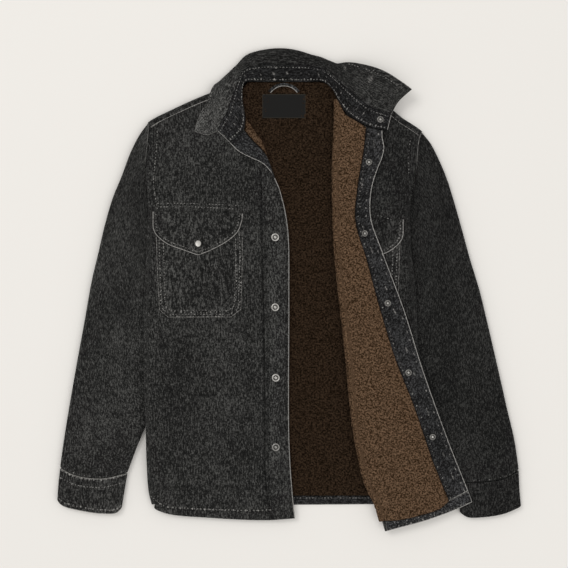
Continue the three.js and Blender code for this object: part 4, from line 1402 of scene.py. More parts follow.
@dataclass
class LeftFront:
    """The left front, turned back on itself along a slanted fold."""

    finishes: Finishes
    lining_end: float = -393 * MM
    lining_hem: float = -352 * MM
    grain: float = -0.34
    # tone: painted shade over the left front's shell, the side away from the light
    tone: float = 0.66
    nub: float = 2.0 * MM
    pitch: float = 3.7 * MM

    def build(self) -> None:
        """Builds the left front's shell, lining and facings."""
        self.shell()
        self.lining()
        self.facing()
        self.hem_facing()

    def shell(self) -> None:
        """The shell: under the fold, round it, and face down over itself."""
        side = Pattern.LEFT_SIDE.shifted(-EDGE_ROLL)
        fold = Edge(Pattern.FOLD, free=False)
        armhole = Line.mm((216, 260), (213, 237), (212, 210), (212, 195))
        yoke = Pattern.LEFT_YOKE_SEAM.shifted(0, -YOKE_SEAM)
        under = Sheet(
            [
                Edge(Line([side.points[0], Pattern.FOLD.points[0]])),
                fold,
                Edge(Pattern.LEFT_YOKE_SEAM.shifted(0, -YOKE_GAP), wear=0.8),
                Edge(Pattern.LEFT_ARMHOLE.reversed()),
                Edge(side.reversed(), free=False),
            ],
            raised(left_rise, Level.FRONT), Cloth.DENIM, step=4 * MM, offset=0.9, tone=self.tone,
            seams=[
                Seam(
                    armhole, pucker=0.3 * MM, reach=3 * MM, groove=0.5 * MM, wear=0.5, wave=9 * MM,
                    seed=0.7,
                ),
                Seam(Line.mm((135, 126), (160, 124), (200, 111)), pucker=0.4 * MM, wear=0.3, wave=5.4 * MM),
                Seam(yoke, pucker=0.3 * MM, groove=0.3 * MM, wear=0.3, seed=1.7),
            ],
        )
        over = Sheet(
            [
                Edge(Pattern.TURNED_HEM, wear=1.1),
                Edge(Pattern.TURNED_EDGE, wear=1.2),
                Edge(Pattern.TURNED_NECK.reversed()),
                Edge(Pattern.FOLD.reversed(), free=False),
            ],
            raised(turned_rise, Level.TURNED), Cloth.DENIM, step=6 * MM, offset=1.0,
            grain=self.grain,
        )
        fold_roll = Roll(
            fold.path(), -1, FOLD_SHELL, Cloth.DENIM, FOLD_MIDDLE, body_rise,
            arcs=8, close=(False, False), offset=1.0,
        )
        side_roll = edge_roll(
            side, 1, lambda p: left_rise(p) + under.lift(p), wear=0.25, tone=self.tone
        )
        skin = Skin.of(under, over, fold_roll, side_roll)
        piece = Piece("front_left", skin, self.finishes.denim, "denim")
        piece.sew([Stitches.on(seam.line, under.top) for seam in under.seams[:2]], self.finishes.thread)
        cut = under.area() + over.area() + turned_area(0.75, FOLD_SHELL)
        piece.declare(cut)

    def lining(self) -> None:
        """The fleece: under the shell, round the fold, and face up over it."""
        fold = Edge(Pattern.FOLD.above(self.lining_end), free=False)
        under = Sheet(
            [
                fold,
                Edge(Pattern.LEFT_YOKE_SEAM.shifted(0, -9 * MM)),
                Edge(Pattern.LEFT_ARMHOLE.shifted(-LINING_TUCK).reversed()),
                Edge(Pattern.LEFT_SIDE.shifted(-LINING_TUCK).above(self.lining_hem).reversed()),
                Edge(Line([[218 * MM, self.lining_hem], fold.line.points[0]])),
            ],
            raised(left_rise, Level.FRONT_LINING), Cloth.PILE, rim=2 * MM, step=9 * MM, offset=1.1,
        )
        hem = Line.through(fold.line.points[:1], Pattern.TURNED_LINING_HEM.points[1:])
        over = Sheet(
            [
                Edge(hem),
                Edge(Pattern.TURNED_SEAM),
                Edge(Line([Pattern.TURNED_SEAM.points[-1], Pattern.TURNED_NECK.points[2]])),
                Edge(Pattern.TURNED_NECK.part(0, 3).reversed()),
                Edge(fold.line.reversed(), free=False),
            ],
            raised(turned_rise, Level.TURNED_LINING), Cloth.PILE, rim=2 * MM, step=1.7 * MM,
            offset=1.2, relief=self.relief, grain=self.grain,
        )
        roll = Roll(
            fold.path(), -1, FOLD_LINING, Cloth.PILE, FOLD_MIDDLE, body_rise,
            relief=lambda p: self.nub * nubs(p, self.pitch, 5.0), arcs=16, close=(False, False), offset=1.2,
            join=0.4 * self.nub,
        )
        skin = Skin.of(under, over, roll)
        piece = Piece("front_left_lining", skin, self.finishes.fleece, "fleece")
        cut = under.area() + over.area() + turned_area(0.73, FOLD_LINING)
        piece.declare(cut)

    def relief(self, points: Array) -> Array:
        """The pile's nubs, which even out at the fold, where the roll goes on."""
        share = smooth(0, 4 * MM, near(points, Pattern.FOLD.trace(5 * MM))[0])
        return self.nub * (nubs(points, self.pitch, 1.0) * share + 0.4 * (1 - share))

    def facing(self) -> None:
        """The facing of the front edge, which carries the sockets."""
        neck = Pattern.TURNED_NECK.points[-2:][::-1].copy()
        neck[:, 0] = np.maximum(neck[:, 0], 140 * MM)
        edge = Line.through([[313 * MM, -343 * MM]], Pattern.TURNED_EDGE.points[2:])
        crest, seam = edge.shifted(-17 * MM), Pattern.TURNED_SEAM
        sheet = Sheet(
            [
                Edge(Pattern.TURNED_FACING_HEM, wear=1.1),
                Edge(edge, wear=1.3),
                Edge(Line(neck)),
                Edge(seam.shifted(Cloth.SEAM).reversed(), wear=0.3),
            ],
            raised(turned_rise, Level.TURNED_LINING), Cloth.DENIM, step=2.2 * MM, offset=1.3,
            # tone 0.62: painted shade over the facing
            grain=self.grain, tone=0.62,
            seams=[
                Seam(edge.shifted(-7 * MM), pucker=1.0 * MM, reach=8 * MM, wear=0.6, wave=13 * MM, seed=0.6),
                Seam(crest, pucker=0.9 * MM, reach=9 * MM, wear=0.55, wave=37 * MM, seed=2.6),
                Seam(seam.shifted(5 * MM), pucker=0.5 * MM, groove=0.4 * MM, wear=0.7, seed=1.9),
            ],
        )
        piece = Piece("front_left_facing", sheet.skin(), self.finishes.facing, "denim_inside")
        row = Stitches.on(sheet.seams[2].line, sheet.top, within=sheet.ring())
        piece.sew([row], self.finishes.seam_thread)
        piece.declare(sheet.area())

    def hem_facing(self) -> None:
        """The turned-up hem below the fleece."""
        sheet = Sheet(
            [
                Edge(Pattern.TURNED_HEM, wear=1.1),
                straight((320, -362), (313.4, -344), wear=0.9),
                Edge(Pattern.TURNED_FACING_HEM.shifted(0, -Cloth.SEAM).reversed(), wear=0.6),
                Edge(Pattern.TURNED_LINING_HEM.shifted(0, -Cloth.SEAM).reversed(), wear=0.4),
            ],
            raised(turned_rise, Level.TURNED_LINING), Cloth.DENIM, step=2.2 * MM, offset=1.4,
            grain=math.pi / 2 - 0.2,
            seams=[
                Seam(Pattern.TURNED_LINING_HEM.shifted(0, -3 * MM), pucker=0.7 * MM, wear=0.6, seed=0.2),
                Seam(Pattern.TURNED_HEM.shifted(-1 * MM, 3.5 * MM), pucker=0.7 * MM, wear=0.7, seed=1.2),
            ],
        )
        piece = Piece("front_left_hem_facing", sheet.skin(), self.finishes.facing, "denim_inside")
        rows = [Stitches.on(seam.line, sheet.top, within=sheet.ring()) for seam in sheet.seams]
        piece.sew(rows, self.finishes.seam_thread)
        piece.declare(sheet.area())


@dataclass
class Pocket:
    """A chest pocket with its flap. The left one runs under the turned front and ends there."""

    side: str
    finishes: Finishes
    # tone: painted light and shade on the pocket and its flap
    tone: float = 1.0

    def placed(self, line: Line) -> Line:
        """A line of the right pocket, moved to this pocket's place."""
        if self.side == "right":
            return line
        points = line.points.copy()
        points[:, 0] = Pattern.POCKET_SHIFT[0] - points[:, 0]
        points[:, 1] += Pattern.POCKET_SHIFT[1]
        return Line(points)

    def rise(self, points: Array) -> Array:
        """Lift of the front that the pocket lies on."""
        return front_rise(points) if self.side == "right" else left_rise(points)

    def clipped(self, line: Line) -> Line:
        """The line without what would cross the fold."""
        if self.side == "right":
            return line
        fold = Pattern.FOLD.shifted(1.5 * MM).trace(10 * MM)
        points = line.points.copy()
        points[:, 0] = np.maximum(points[:, 0], np.interp(points[:, 1], fold[:, 1], fold[:, 0]))
        return Line(points)

    def build(self) -> None:
        """Builds the pocket and its flap."""
        flap = self.placed(Pattern.FLAP_RIGHT)
        parts = [flap.part(0, 2), flap.part(1, 6), flap.part(5, 10), flap.part(9, None)]
        curved = Line.through(parts[0].trace(4 * MM), *(part.trace(4 * MM)[1:] for part in parts[1:]))
        self.sheet("pocket", self.placed(Pattern.POCKET_RIGHT), Level.ON_FRONT, (5 * MM, 12 * MM), 0.75)
        self.sheet("flap", curved, Level.FLAP, (5.5 * MM,), 1.15)

    def sheet(self, name: str, line: Line, level: float, rows: Sequence[float], wear: float) -> None:
        """Builds the pocket or the flap.

        Args:
            name: The piece's name without its side.
            line: Its sides and its lower edge, from one top corner to the other.
            level: Height of its lower face over the front.
            rows: How far its rows of stitches lie inside the edge.
            wear: How rubbed the edge is.
        """
        closed = np.concatenate([line.points, line.points[:1]])
        cut = self.clipped(Line(spaced(line.points, 3 * MM)))
        top = Line(cut.points[[-1, 0]])
        lines = [Line(inset(closed, gap)[: len(line.points)]) for gap in rows]
        seams = [
            Seam(row, pucker=0.5 * MM, reach=4 * MM, wear=0.7, wave=5.4 * MM, seed=k)
            for k, row in enumerate(lines)
        ]
        sheet = Sheet(
            [Edge(cut, wear=wear, sharp=True), Edge(top, sharp=True)], raised(self.rise, level), Cloth.BAND,
            step=2.8 * MM, seams=seams, offset=1.5 + level, tone=self.tone,
        )
        piece = Piece(f"{name}_{self.side}", sheet.skin(), self.finishes.denim, "denim")
        ring = sheet.ring()
        stitches = [Stitches.on(seam.line, sheet.top, sharp=True, within=ring) for seam in seams]
        piece.sew(stitches, self.finishes.thread)
        piece.declare(sheet.area())


# ---------------------------------------------------------------------------
# Sleeves, cuffs and collar
# ---------------------------------------------------------------------------
@dataclass
class Limb:
    """A flattened tube of cloth between two ends and two long edges, open at both ends."""

    start: Line
    stop: Line
    outer: Line
    inner: Line
    wall: float
    height: float
    rows: int
    columns: int
    seams: list[Seam] = field(default_factory=list)
    creases: Sequence[Crease] = ()
    offset: float = 0.0
    # tone: painted light and shade, a factor on the tube's colour
    tone: float = 1.0
    start_wear: float = 0.9
    end_wear: float = 0.0

    ARCS = 7
    RUB = 1.6 * MM  # width of the worn stripe at each end

    def patch(self, u: Array, v: Array) -> Array:
        """Points of the Coons patch between the four lines, u across and v along."""
        u, v = u[..., None], v[..., None]
        corner = lambda stop, inner: (self.stop if stop else self.start).points[-1 if inner else 0][:2]
        return (
            self.start.at(u[..., 0]) * (1 - v) + self.stop.at(u[..., 0]) * v
            + self.outer.at(v[..., 0]) * (1 - u) + self.inner.at(v[..., 0]) * u
            - corner(0, 0) * (1 - u) * (1 - v) - corner(0, 1) * u * (1 - v)
            - corner(1, 0) * (1 - u) * v - corner(1, 1) * u * v
        )

    def across(self) -> tuple[Array, Array, Array, Array]:
        """The ring of the tube: which edge each point is at, its share across, cosine and sine."""
        edge, share, cos, sin = [], [], [], []
        for side, sign in ((0, 1), (1, -1)):
            for k in range(self.ARCS + 1):
                angle = sign * (math.pi * k / self.ARCS - math.pi / 2)
                edge.append(side)
                share.append(np.nan)
                cos.append(math.cos(angle))
                sin.append(math.sin(angle))
            for k in range(1, self.columns):
                edge.append(side)
                share.append(1 - k / self.columns if side else k / self.columns)
                cos.append(0)
                sin.append(sign)
        return tuple(np.array(values, float) for values in (edge, share, cos, sin))

    def skin(self) -> Skin:
        """The tube's outer and inner faces, closed with round rims at its ends."""
        edge, share, cos, sin = self.across()
        length = arc(self.outer.dense())[-1]
        even = np.linspace(0, 1, self.rows + 1)
        rim = np.array([0.15, 0.5, 1.0]) * self.wall / 2 / length
        v = np.unique(np.concatenate([even, rim, 1 - rim]))
        end_gap = np.minimum(v, 1 - v) * length
        swell = dome(np.clip(end_gap / (self.wall / 2), 0, 1))
        half, middle = self.height / 2, (self.height - self.wall) / 2
        width = np.linalg.norm(self.patch(np.zeros_like(v), v) - self.patch(np.ones_like(v), v), axis=1)
        walls, places = [], []
        for sign in (1, -1):
            radius = middle + sign * swell * self.wall / 2
            inset = (half - radius[:, None] * cos[None]) / width[:, None]
            flat = (half / width)[:, None] + share[None] * (1 - 2 * half / width)[:, None]
            u = np.where(np.isnan(share)[None], np.abs(edge[None] - inset), flat)
            plan = self.patch(u, np.broadcast_to(v[:, None], u.shape))
            z = half + radius[:, None] * sin[None]
            flat_plan = plan.reshape(-1, 2)
            lift = total(self.creases, flat_plan) + sum(
                (s.height(flat_plan) for s in self.seams), np.zeros(len(flat_plan))
            )
            z = z + np.maximum(0, sin)[None] * lift.reshape(z.shape)
            walls.append(np.concatenate([plan, z[..., None]], 2))
            places.append(u)
        points, faces = walled(walls, True)
        girth = np.concatenate([(np.sign(sin)[None] * 0.3 + u * width[:, None]).ravel() for u in places])
        start, stop = (np.tile(np.repeat(gap * length, len(sin)), 2) for gap in (v, 1 - v))
        skin = Skin.bare(points, faces, np.column_stack([girth, -start, np.full(len(points), self.offset)]))
        upper = np.tile(sin, 2 * len(v)) > 0
        worn = [np.where(upper, seam.worn(points), 0) for seam in self.seams]
        ends = [self.start_wear * bell(start, self.RUB), self.end_wear * bell(stop, self.RUB)]
        skin.wear = np.maximum.reduce([*worn, *ends])
        skin.tone[:] = self.tone
        return skin

    def cut(self) -> tuple[float, float, float]:
        """Width all round, length and area of the tube's cloth."""
        v = np.linspace(0, 1, 21)
        width = np.linalg.norm(self.patch(np.zeros(21), v) - self.patch(np.ones(21), v), axis=1)
        outer, inner = (float(arc(line.dense())[-1]) for line in (self.outer, self.inner))
        return 2 * float(width.max()), max(outer, inner), float(width.mean()) * (outer + inner)


@dataclass
class Sleeve:
    """A sleeve and its cuff."""

    side: str
    pattern: SleevePattern
    finishes: Finishes
    # tone: painted light and shade on the sleeve and its cuff
    tone: float = 1.0
    cuff_wear: tuple[float, float, float] = (0.9, 0.7, 0.9)

    def cuff_lines(self) -> list[Line]:
        """The cuff's stitch lines: under its seam, a finger below it and above its end."""
        seam, stop = self.pattern.seam, self.pattern.end
        shares = np.linspace(0.03, 0.97, 14)
        top, low = seam.at(shares), stop.at(shares)
        toward = unit(low - top)
        return [Line(top + toward * 3 * MM), Line(top + toward * 16 * MM), Line(low - toward * 7 * MM)]

    def build(self) -> None:
        """Builds the sleeve and the cuff."""
        p = self.pattern
        above = p.seam.shifted(0, 3 * MM)
        gather = Seam(above, pucker=1.1 * MM, reach=9 * MM, wave=9 * MM, wear=0.6, seed=1.0)
        sleeve = Limb(
            p.armhole, p.seam, p.outer, p.inner, Tube.SLEEVE_WALL, Tube.SLEEVE_HEIGHT, 190, 44,
            seams=[gather], creases=SLEEVE_CREASES, offset=2.0 + (self.side == "left"), tone=self.tone,
        )
        width, length, area = sleeve.cut()
        piece = Piece(f"sleeve_{self.side}", sleeve.skin(), self.finishes.denim, "denim")
        piece.declare(area)
        seams = [
            Seam(line, pucker=0.9 * MM, reach=5 * MM, groove=0.5 * MM, wear=wear, wave=7 * MM, seed=k)
            for k, (line, wear) in enumerate(zip(self.cuff_lines(), self.cuff_wear))
        ]
        cuff = Limb(
            p.seam.shifted(0, -1 * MM), p.end, p.cuff_outer, p.cuff_inner, Tube.CUFF_WALL, Tube.CUFF_HEIGHT,
            40, 60, seams=seams, offset=4.0, tone=self.tone,
            # the cuff end's wear is scaled by the sleeve's painted tone
            start_wear=self.cuff_wear[0], end_wear=0.8 * self.tone,
        )
        width, length, area = cuff.cut()
        piece = Piece(f"cuff_{self.side}", cuff.skin(), self.finishes.denim, "denim")
        top = lambda q: Tube.CUFF_HEIGHT + sum(s.height(q) for s in seams)
        thread = self.finishes.thread if self.side == "right" else self.finishes.seam_thread
        piece.sew([Stitches.on(s.line, top) for s in seams], thread)
        piece.declare(area)


@dataclass
class Band:
    """A band of cloth swept across sections: u runs along it and v across it."""

    surface: Callable[[Array, Array], Array]
    columns: int
    rows: int
    thickness: float = Cloth.STAND
    waves: tuple[tuple[float, float, float, float], ...] = ()  # height, waves along, place, width across
    offset: float = 0.0
    # tones: painted light and shade along the band, factors on its colour
    tones: tuple[tuple[float, float], ...] = ((0, 1.0),)  # tone at places along it
    wear: tuple[float, float, float] = (0.6, 0.5, 0.5)  # of both ends, its start edge and its stop edge
    rubbed: float = 0.0  # how worn the waves are

    RUB = 1.2 * MM  # width of the worn stripe at each edge

    def middle(self, u: Array, v: Array) -> tuple[Array, Array]:
        """Points of the middle surface and their unit normals."""
        clip = lambda t: np.clip(t, 0, 1)
        step = 1e-3
        across = self.surface(clip(u + step), v) - self.surface(clip(u - step), v)
        along = self.surface(u, clip(v + step)) - self.surface(u, clip(v - step))
        normal = unit(np.cross(across, along))
        points = self.surface(u, v)
        return points + self.lift(u, v)[..., None] * normal, normal

    def length(self) -> float:
        """Length of the band along its middle."""
        return arc(self.surface(np.linspace(0, 1, 60), np.full(60, 0.5)))[-1]

    def lift(self, u: Array, v: Array) -> Array:
        """How far the waves lift the cloth."""
        length = self.length()
        lift = np.zeros(u.shape)
        for height, wave, place, width in self.waves:
            phase = 2 * math.pi * u * length / wave
            ripple = np.sin(phase) * 0.6 + 0.4 * np.sin(1.73 * phase + 9 * v)
            lift += height * ripple * bell(v - place, width)
        return lift

    def skin(self) -> Skin:
        """Both faces, closed round all four edges."""
        rim = np.array([0.004, 0.012])
        u = np.unique(np.concatenate([np.linspace(0, 1, self.columns + 1), rim * 0.3, 1 - rim * 0.3]))
        v = np.unique(np.concatenate([np.linspace(0, 1, self.rows + 1), rim * 2, 1 - rim * 2]))
        grid_u, grid_v = np.meshgrid(u, v)
        points, normal = self.middle(grid_u, grid_v)
        length = self.length()
        girth = arc(self.surface(np.full(40, 0.5), np.linspace(0, 1, 40)))[-1]
        gap_u = np.minimum(grid_u, 1 - grid_u) * length
        gap_v = np.minimum(grid_v, 1 - grid_v) * girth
        half = self.thickness / 2 * dome(np.clip(np.minimum(gap_u, gap_v) / (self.thickness / 2), 0, 1))
        shape, faces = walled([points + side * half[..., None] * normal for side in (1, -1)])
        cloth = np.column_stack([
            np.tile((grid_v * girth).ravel(), 2), np.tile((grid_u * length).ravel(), 2),
            np.full(2 * grid_u.size, self.offset),
        ])
        shape[:, 2] = np.maximum(shape[:, 2], 0)
        skin = Skin.bare(shape, faces, cloth)
        gaps = (gap_u, grid_v * girth, (1 - grid_v) * girth)
        rub = [wear * bell(gap, self.RUB) for wear, gap in zip(self.wear, gaps)]
        rub.append(self.rubbed * np.clip(self.lift(grid_u, grid_v) / (0.6 * MM), 0, 1))
        skin.wear = np.tile(np.maximum.reduce(rub).ravel(), 2)
        skin.tone = np.tile(np.interp(grid_u, *zip(*self.tones)).ravel(), 2)
        return skin

    def row(self, place: float, start: float = 0.01, stop: float = 0.99) -> Stitches:
        """A row of stitches along the band's upper face, at a place across it."""
        u = np.linspace(start, stop, 400)
        points, normal = self.middle(u, np.full(400, place))
        normal *= np.sign(normal[:, 2:])
        return Stitches(points + self.thickness / 2 * normal, normal)


@dataclass
class Collar:
    """The collar's stand and its leaf, which rolls over at the back and lies open at the sides."""

    finishes: Finishes

    def __post_init__(self) -> None:
        """Reads the sections."""
        self.neck, self.seam, self.roll, self.edge = (
            Line.mm(*(row[k] for row in COLLAR)) for k in range(4)
        )
        self.opening = Line.mm(*((row[4], 0, 0) for row in COLLAR))

    def stand(self, u: Array, v: Array) -> Array:
        """Middle surface of the stand."""
        low, high = self.neck.by_row(u), self.seam.by_row(u)
        return low + (high - low) * (v * 0.985)[..., None]

    def leaf(self, u: Array, v: Array) -> Array:
        """Middle surface of the leaf, across its roll."""
        start, stop = self.seam.by_row(u), self.edge.by_row(u)
        toward = stop - start
        start = start + Cloth.GAP * toward / np.linalg.norm(toward, axis=-1)[..., None]
        middle = (8 * self.roll.by_row(u) - start - stop) / 6
        lift = self.opening.by_row(u)[..., :1] * np.array([0, 0, 1.0])
        v = v[..., None]
        return (
            start * (1 - v) ** 3 + 3 * (middle + lift) * v * (1 - v) ** 2
            + 3 * (middle - lift) * v**2 * (1 - v) + stop * v**3
        )

    def build(self) -> None:
        """Builds the stand and the leaf."""
        stand = Band(
            self.stand, 300, 30, offset=5.0, wear=(1.2, 0.0, 0.3), rubbed=0.8,
            # tones: painted shade along the stand, darkest at the back under the leaf
            tones=((0, 0.55), (0.5, 0.22), (1, 0.42)),
            waves=(
                (0.7 * MM, 8 * MM, 0.14, 0.1), (0.6 * MM, 6 * MM, 0.83, 0.09),
                (0.45 * MM, 13 * MM, 0.5, 0.2),
            ),
        )
        piece = Piece("collar_stand", stand.skin(), self.finishes.facing, "denim_inside")
        piece.sew([stand.row(0.12), stand.row(0.85)], self.finishes.thread)
        piece.declare(0.0135)
        leaf = Band(
            self.leaf, 300, 60, offset=6.0, wear=(0.9, 0.1, 0.85), rubbed=0.6,
            # tones: painted light on the leaf's -X end, towards the key lamp, and painted shade at the back
            tones=((0, 2.6), (0.2, 1.9), (0.36, 0.85), (0.5, 0.62), (0.66, 0.65), (0.8, 0.95), (1, 0.95)),
            waves=((0.6 * MM, 6 * MM, 0.89, 0.05), (0.5 * MM, 43 * MM, 0.6, 0.4)),
        )
        piece = Piece("collar_leaf", leaf.skin(), self.finishes.denim, "denim")
        piece.sew([leaf.row(0.88, 0.02, 0.3), leaf.row(0.88, 0.7, 0.985)], self.finishes.thread)
        piece.declare(0.0285)


# ---------------------------------------------------------------------------
# Neck details and snaps
# ---------------------------------------------------------------------------
@dataclass
class NeckDetails:
    """The blank woven label and the hanging loop on the lining of the neck."""

    finishes: Finishes
    width: float = 74 * MM
    height: float = 41 * MM
    place: tuple[float, float] = (0.0, 312 * MM)
    thickness: float = 0.7 * MM  # of the label
    loft: float = 0.6 * MM  # of the label over the lining
    bow: float = 0.7 * MM
    loop_centre: float = 318 * MM
    loop_radius: float = 30.5 * MM
    loop_width: float = 5.4 * MM
    loop_lift: float = 1.2 * MM  # of its middle over its ends

    def build(self) -> None:
        """Builds the label and the loop."""
        x, y = self.place
        w, h = self.width / 2, self.height / 2
        corners = np.array([(x - w, y - h), (x + w, y - h), (x + w, y + h), (x - w, y + h), (x - w, y - h)])
        edge = Edge(Line(corners), wear=1.0, sharp=True, step=1.5 * MM)
        bow = lambda p: self.bow * np.cos((p[:, 0] - x) * 60) * np.cos((p[:, 1] - y) * 45)
        bottom = raised(bow, Level.ON_LINING + self.loft)
        sheet = Sheet([edge], bottom, self.thickness, rim=self.thickness / 2, step=2 * MM)
        piece = Piece("neck_label", sheet.skin(), self.finishes.label, "label")
        piece.declare(self.width * self.height)
        # full wear on the loop's start edge paints a pale line: partly edge wear, partly a painted highlight
        # on the arch
        strap = Band(self.strap, 60, 10, thickness=1.4 * MM, offset=7.0, wear=(0.3, 1.0, 0.3))
        piece = Piece("hanger_loop", strap.skin(), self.finishes.facing, "denim_inside")
        piece.declare(0.00035)

    def strap(self, u: Array, v: Array) -> Array:
        """Middle surface of the hanging loop: an arch that lies on the lining."""
        angle = math.pi * (0.2 + 0.6 * u)
        radius = self.loop_radius + (v - 0.5) * self.loop_width
        z = Level.ON_LINING + 1.0 * MM + self.loop_lift * np.sin(math.pi * u)
        return np.stack([radius * np.cos(angle), self.loop_centre + radius * np.sin(angle), z], -1)


@dataclass(frozen=True)
class SnapShape:
    """A turned part of a snap.

    profile holds shares of the snap's radius and height. rings holds its bright rings: the shares
    of the radius that each lies between, and how bright it is. tip is the share of the height
    over which it brightens, if it does.
    """

    profile: tuple[tuple[float, float], ...]
    rings: tuple[tuple[float, float, float], ...]
    tip: float | None = None


class SnapKind(Enum):
    """The parts of a press snap."""

    STUD = SnapShape(
        (
            (0, 0), (0.97, 0), (1, 0.3), (0.97, 0.75), (0.86, 1), (0.72, 1), (0.64, 0.72), (0.6, 0.5),
            (0.42, 0.46), (0.36, 0.6), (0.35, 1.1), (0.31, 1.32), (0.2, 1.42), (0, 1.45),
        ),
        ((0.62, 2.0, 1),), 0.6,
    )
    SOCKET = SnapShape(
        (
            (0, 0), (0.8, 0), (0.84, 0.3), (0.8, 0.72), (0.68, 0.95), (0.52, 1), (0.42, 0.92), (0.38, 0.7),
            (0.36, 0.35), (0, 0.3),
        ),
        ((0.0, 0.22, 1), (0.56, 0.8, 0.3)),
    )
    CAP = SnapShape(
        ((0, 0), (0.92, 0), (0.97, 0.25), (0.94, 0.55), (0.8, 0.85), (0.5, 1.05), (0.2, 1.14), (0, 1.15)),
        ((0.0, 0.72, 1),),
    )


@dataclass
class Snap:
    """One part of a snap, turned on its axis and seated on the cloth."""

    name: str
    kind: SnapKind
    place: tuple[float, float]
    ground: Field
    finishes: Finishes
    radius: float = 6.8 * MM
    height: float = 1.8 * MM
    # tone: painted light and shade, a factor on the metal's colour
    tone: float = 1.0

    SIDES = 48
    HOLLOW = 0.15  # brightness away from the bright rings
    REACH = 5 * MM  # how far from the axis the slope of the cloth is read

    def crest(self, r: Array, h: Array) -> Array:
        """How bright the metal is at radii and heights."""
        crest = np.full(len(r), self.HOLLOW)
        for low, high, bright in self.kind.value.rings:
            on = (r >= low * self.radius) & (r <= high * self.radius)
            crest = np.maximum(crest, np.where(on, bright, 0))
        tip = self.kind.value.tip
        return crest if tip is None else np.maximum(crest, np.clip(h / self.height - tip, 0, 1))

    def build(self) -> None:
        """Builds the part, its hollows darker than its crests."""
        profile = np.array(self.kind.value.profile)
        fine = Line(np.column_stack([profile, np.zeros(len(profile))]))
        outline = spaced(np.concatenate([profile[:2], fine.part(1, None).trace(0.05)[:, :2]]), 0.05)
        outline[:, 0] = np.maximum(outline[:, 0], 0)
        angles = np.linspace(0, 2 * math.pi, self.SIDES, endpoint=False)
        r, h = outline[:, 0] * self.radius, outline[:, 1] * self.height
        around = r[:, None, None] * np.stack([np.cos(angles), np.sin(angles)], -1)
        local = np.concatenate([around, np.broadcast_to(h[:, None, None], (*around.shape[:2], 1))], -1)
        x, y = np.array(self.place) * MM
        reach = self.REACH
        z = self.ground(np.array([(x, y), (x + reach, y), (x - reach, y), (x, y + reach), (x, y - reach)]))
        up = Vector((-(z[1] - z[2]), -(z[3] - z[4]), 2 * reach)).normalized()
        turn = np.array(Vector((0, 0, 1)).rotation_difference(up).to_matrix())
        points = local.reshape(-1, 3) @ turn.T + np.array([x, y, z.mean() + Cloth.GAP])
        skin = Skin.bare(points, grid_faces(len(h), self.SIDES, True), local.reshape(-1, 3))
        skin.pile = np.repeat(self.crest(r, h), self.SIDES)
        skin.tone[:] = self.tone
        Piece(self.name, skin, self.finishes.metal, "snap_metal")


@dataclass
class Snaps:
    """All snaps of the jacket."""

    finishes: Finishes

    def build(self) -> None:
        """Builds the studs, the sockets and the cap on the right flap."""
        on_placket = raised(front_rise, Level.ON_FRONT + Cloth.BAND)
        on_facing = raised(turned_rise, Level.TURNED_LINING + Cloth.DENIM)
        on_flap = raised(front_rise, Level.FLAP + Cloth.BAND)
        # tones: painted shade on the lowest stud
        tones = (1.0, 1.0, 1.0, 0.6)
        for k, (place, tone) in enumerate(zip(STUD_PLACES, tones)):
            Snap(f"stud_{k + 1}", SnapKind.STUD, place, on_placket, self.finishes, tone=tone).build()
        for k, place in enumerate(SOCKET_PLACES):
            Snap(f"socket_{k + 1}", SnapKind.SOCKET, place, on_facing, self.finishes).build()
        x, y, z = STAND_SOCKET
        Snap("socket_6", SnapKind.SOCKET, (x, y), lambda p: np.full(len(p), z * MM), self.finishes).build()
        # tone 1.3: painted light on the flap's cap
        Snap("flap_cap", SnapKind.CAP, CAP_PLACE, on_flap, self.finishes, tone=1.3).build()


# ---------------------------------------------------------------------------
# Shader nodes
# ---------------------------------------------------------------------------
Value = Union["Wire", float]


class Wire:
    """A number that runs through a node tree; its operators add Math nodes."""

    def __init__(self, graph: "Graph", socket: bpy.types.NodeSocket) -> None:
        """Wraps an output socket of the graph."""
        self.graph, self.socket = graph, socket

    def math(self, operation: str, *others: Value, clamp: bool = False) -> "Wire":
        """A Math node on this value and others."""
        return self.graph.math(operation, self, *others, clamp=clamp)

    def __add__(self, other: Value) -> "Wire":
        """Sum."""
        return self.math("ADD", other)

    def __radd__(self, other: Value) -> "Wire":
        """Sum."""
        return self.math("ADD", other)

    def __sub__(self, other: Value) -> "Wire":
        """Difference."""
        return self.math("SUBTRACT", other)

    def __rsub__(self, other: Value) -> "Wire":
        """Difference, the other way round."""
        return self.graph.math("SUBTRACT", other, self)

    def __mul__(self, other: Value) -> "Wire":
        """Product."""
        return self.math("MULTIPLY", other)

    def __rmul__(self, other: Value) -> "Wire":
        """Product."""
        return self.math("MULTIPLY", other)

    def __truediv__(self, other: Value) -> "Wire":
        """Quotient."""
        return self.math("DIVIDE", other)

    def __pow__(self, other: Value) -> "Wire":
        """Power."""
        return self.math("POWER", other)

    def clamped(self) -> "Wire":
        """The value held between 0 and 1."""
        return self.math("MULTIPLY", 1.0, clamp=True)

    def ramp(self, low: float, high: float) -> "Wire":
        """Smooth step from 0 at low to 1 at high."""
        node = self.graph.node(
            "ShaderNodeMapRange", {"interpolation_type": "SMOOTHSTEP"},
            {"Value": self, "From Min": low, "From Max": high},
        )
        return Wire(self.graph, node.outputs["Result"])


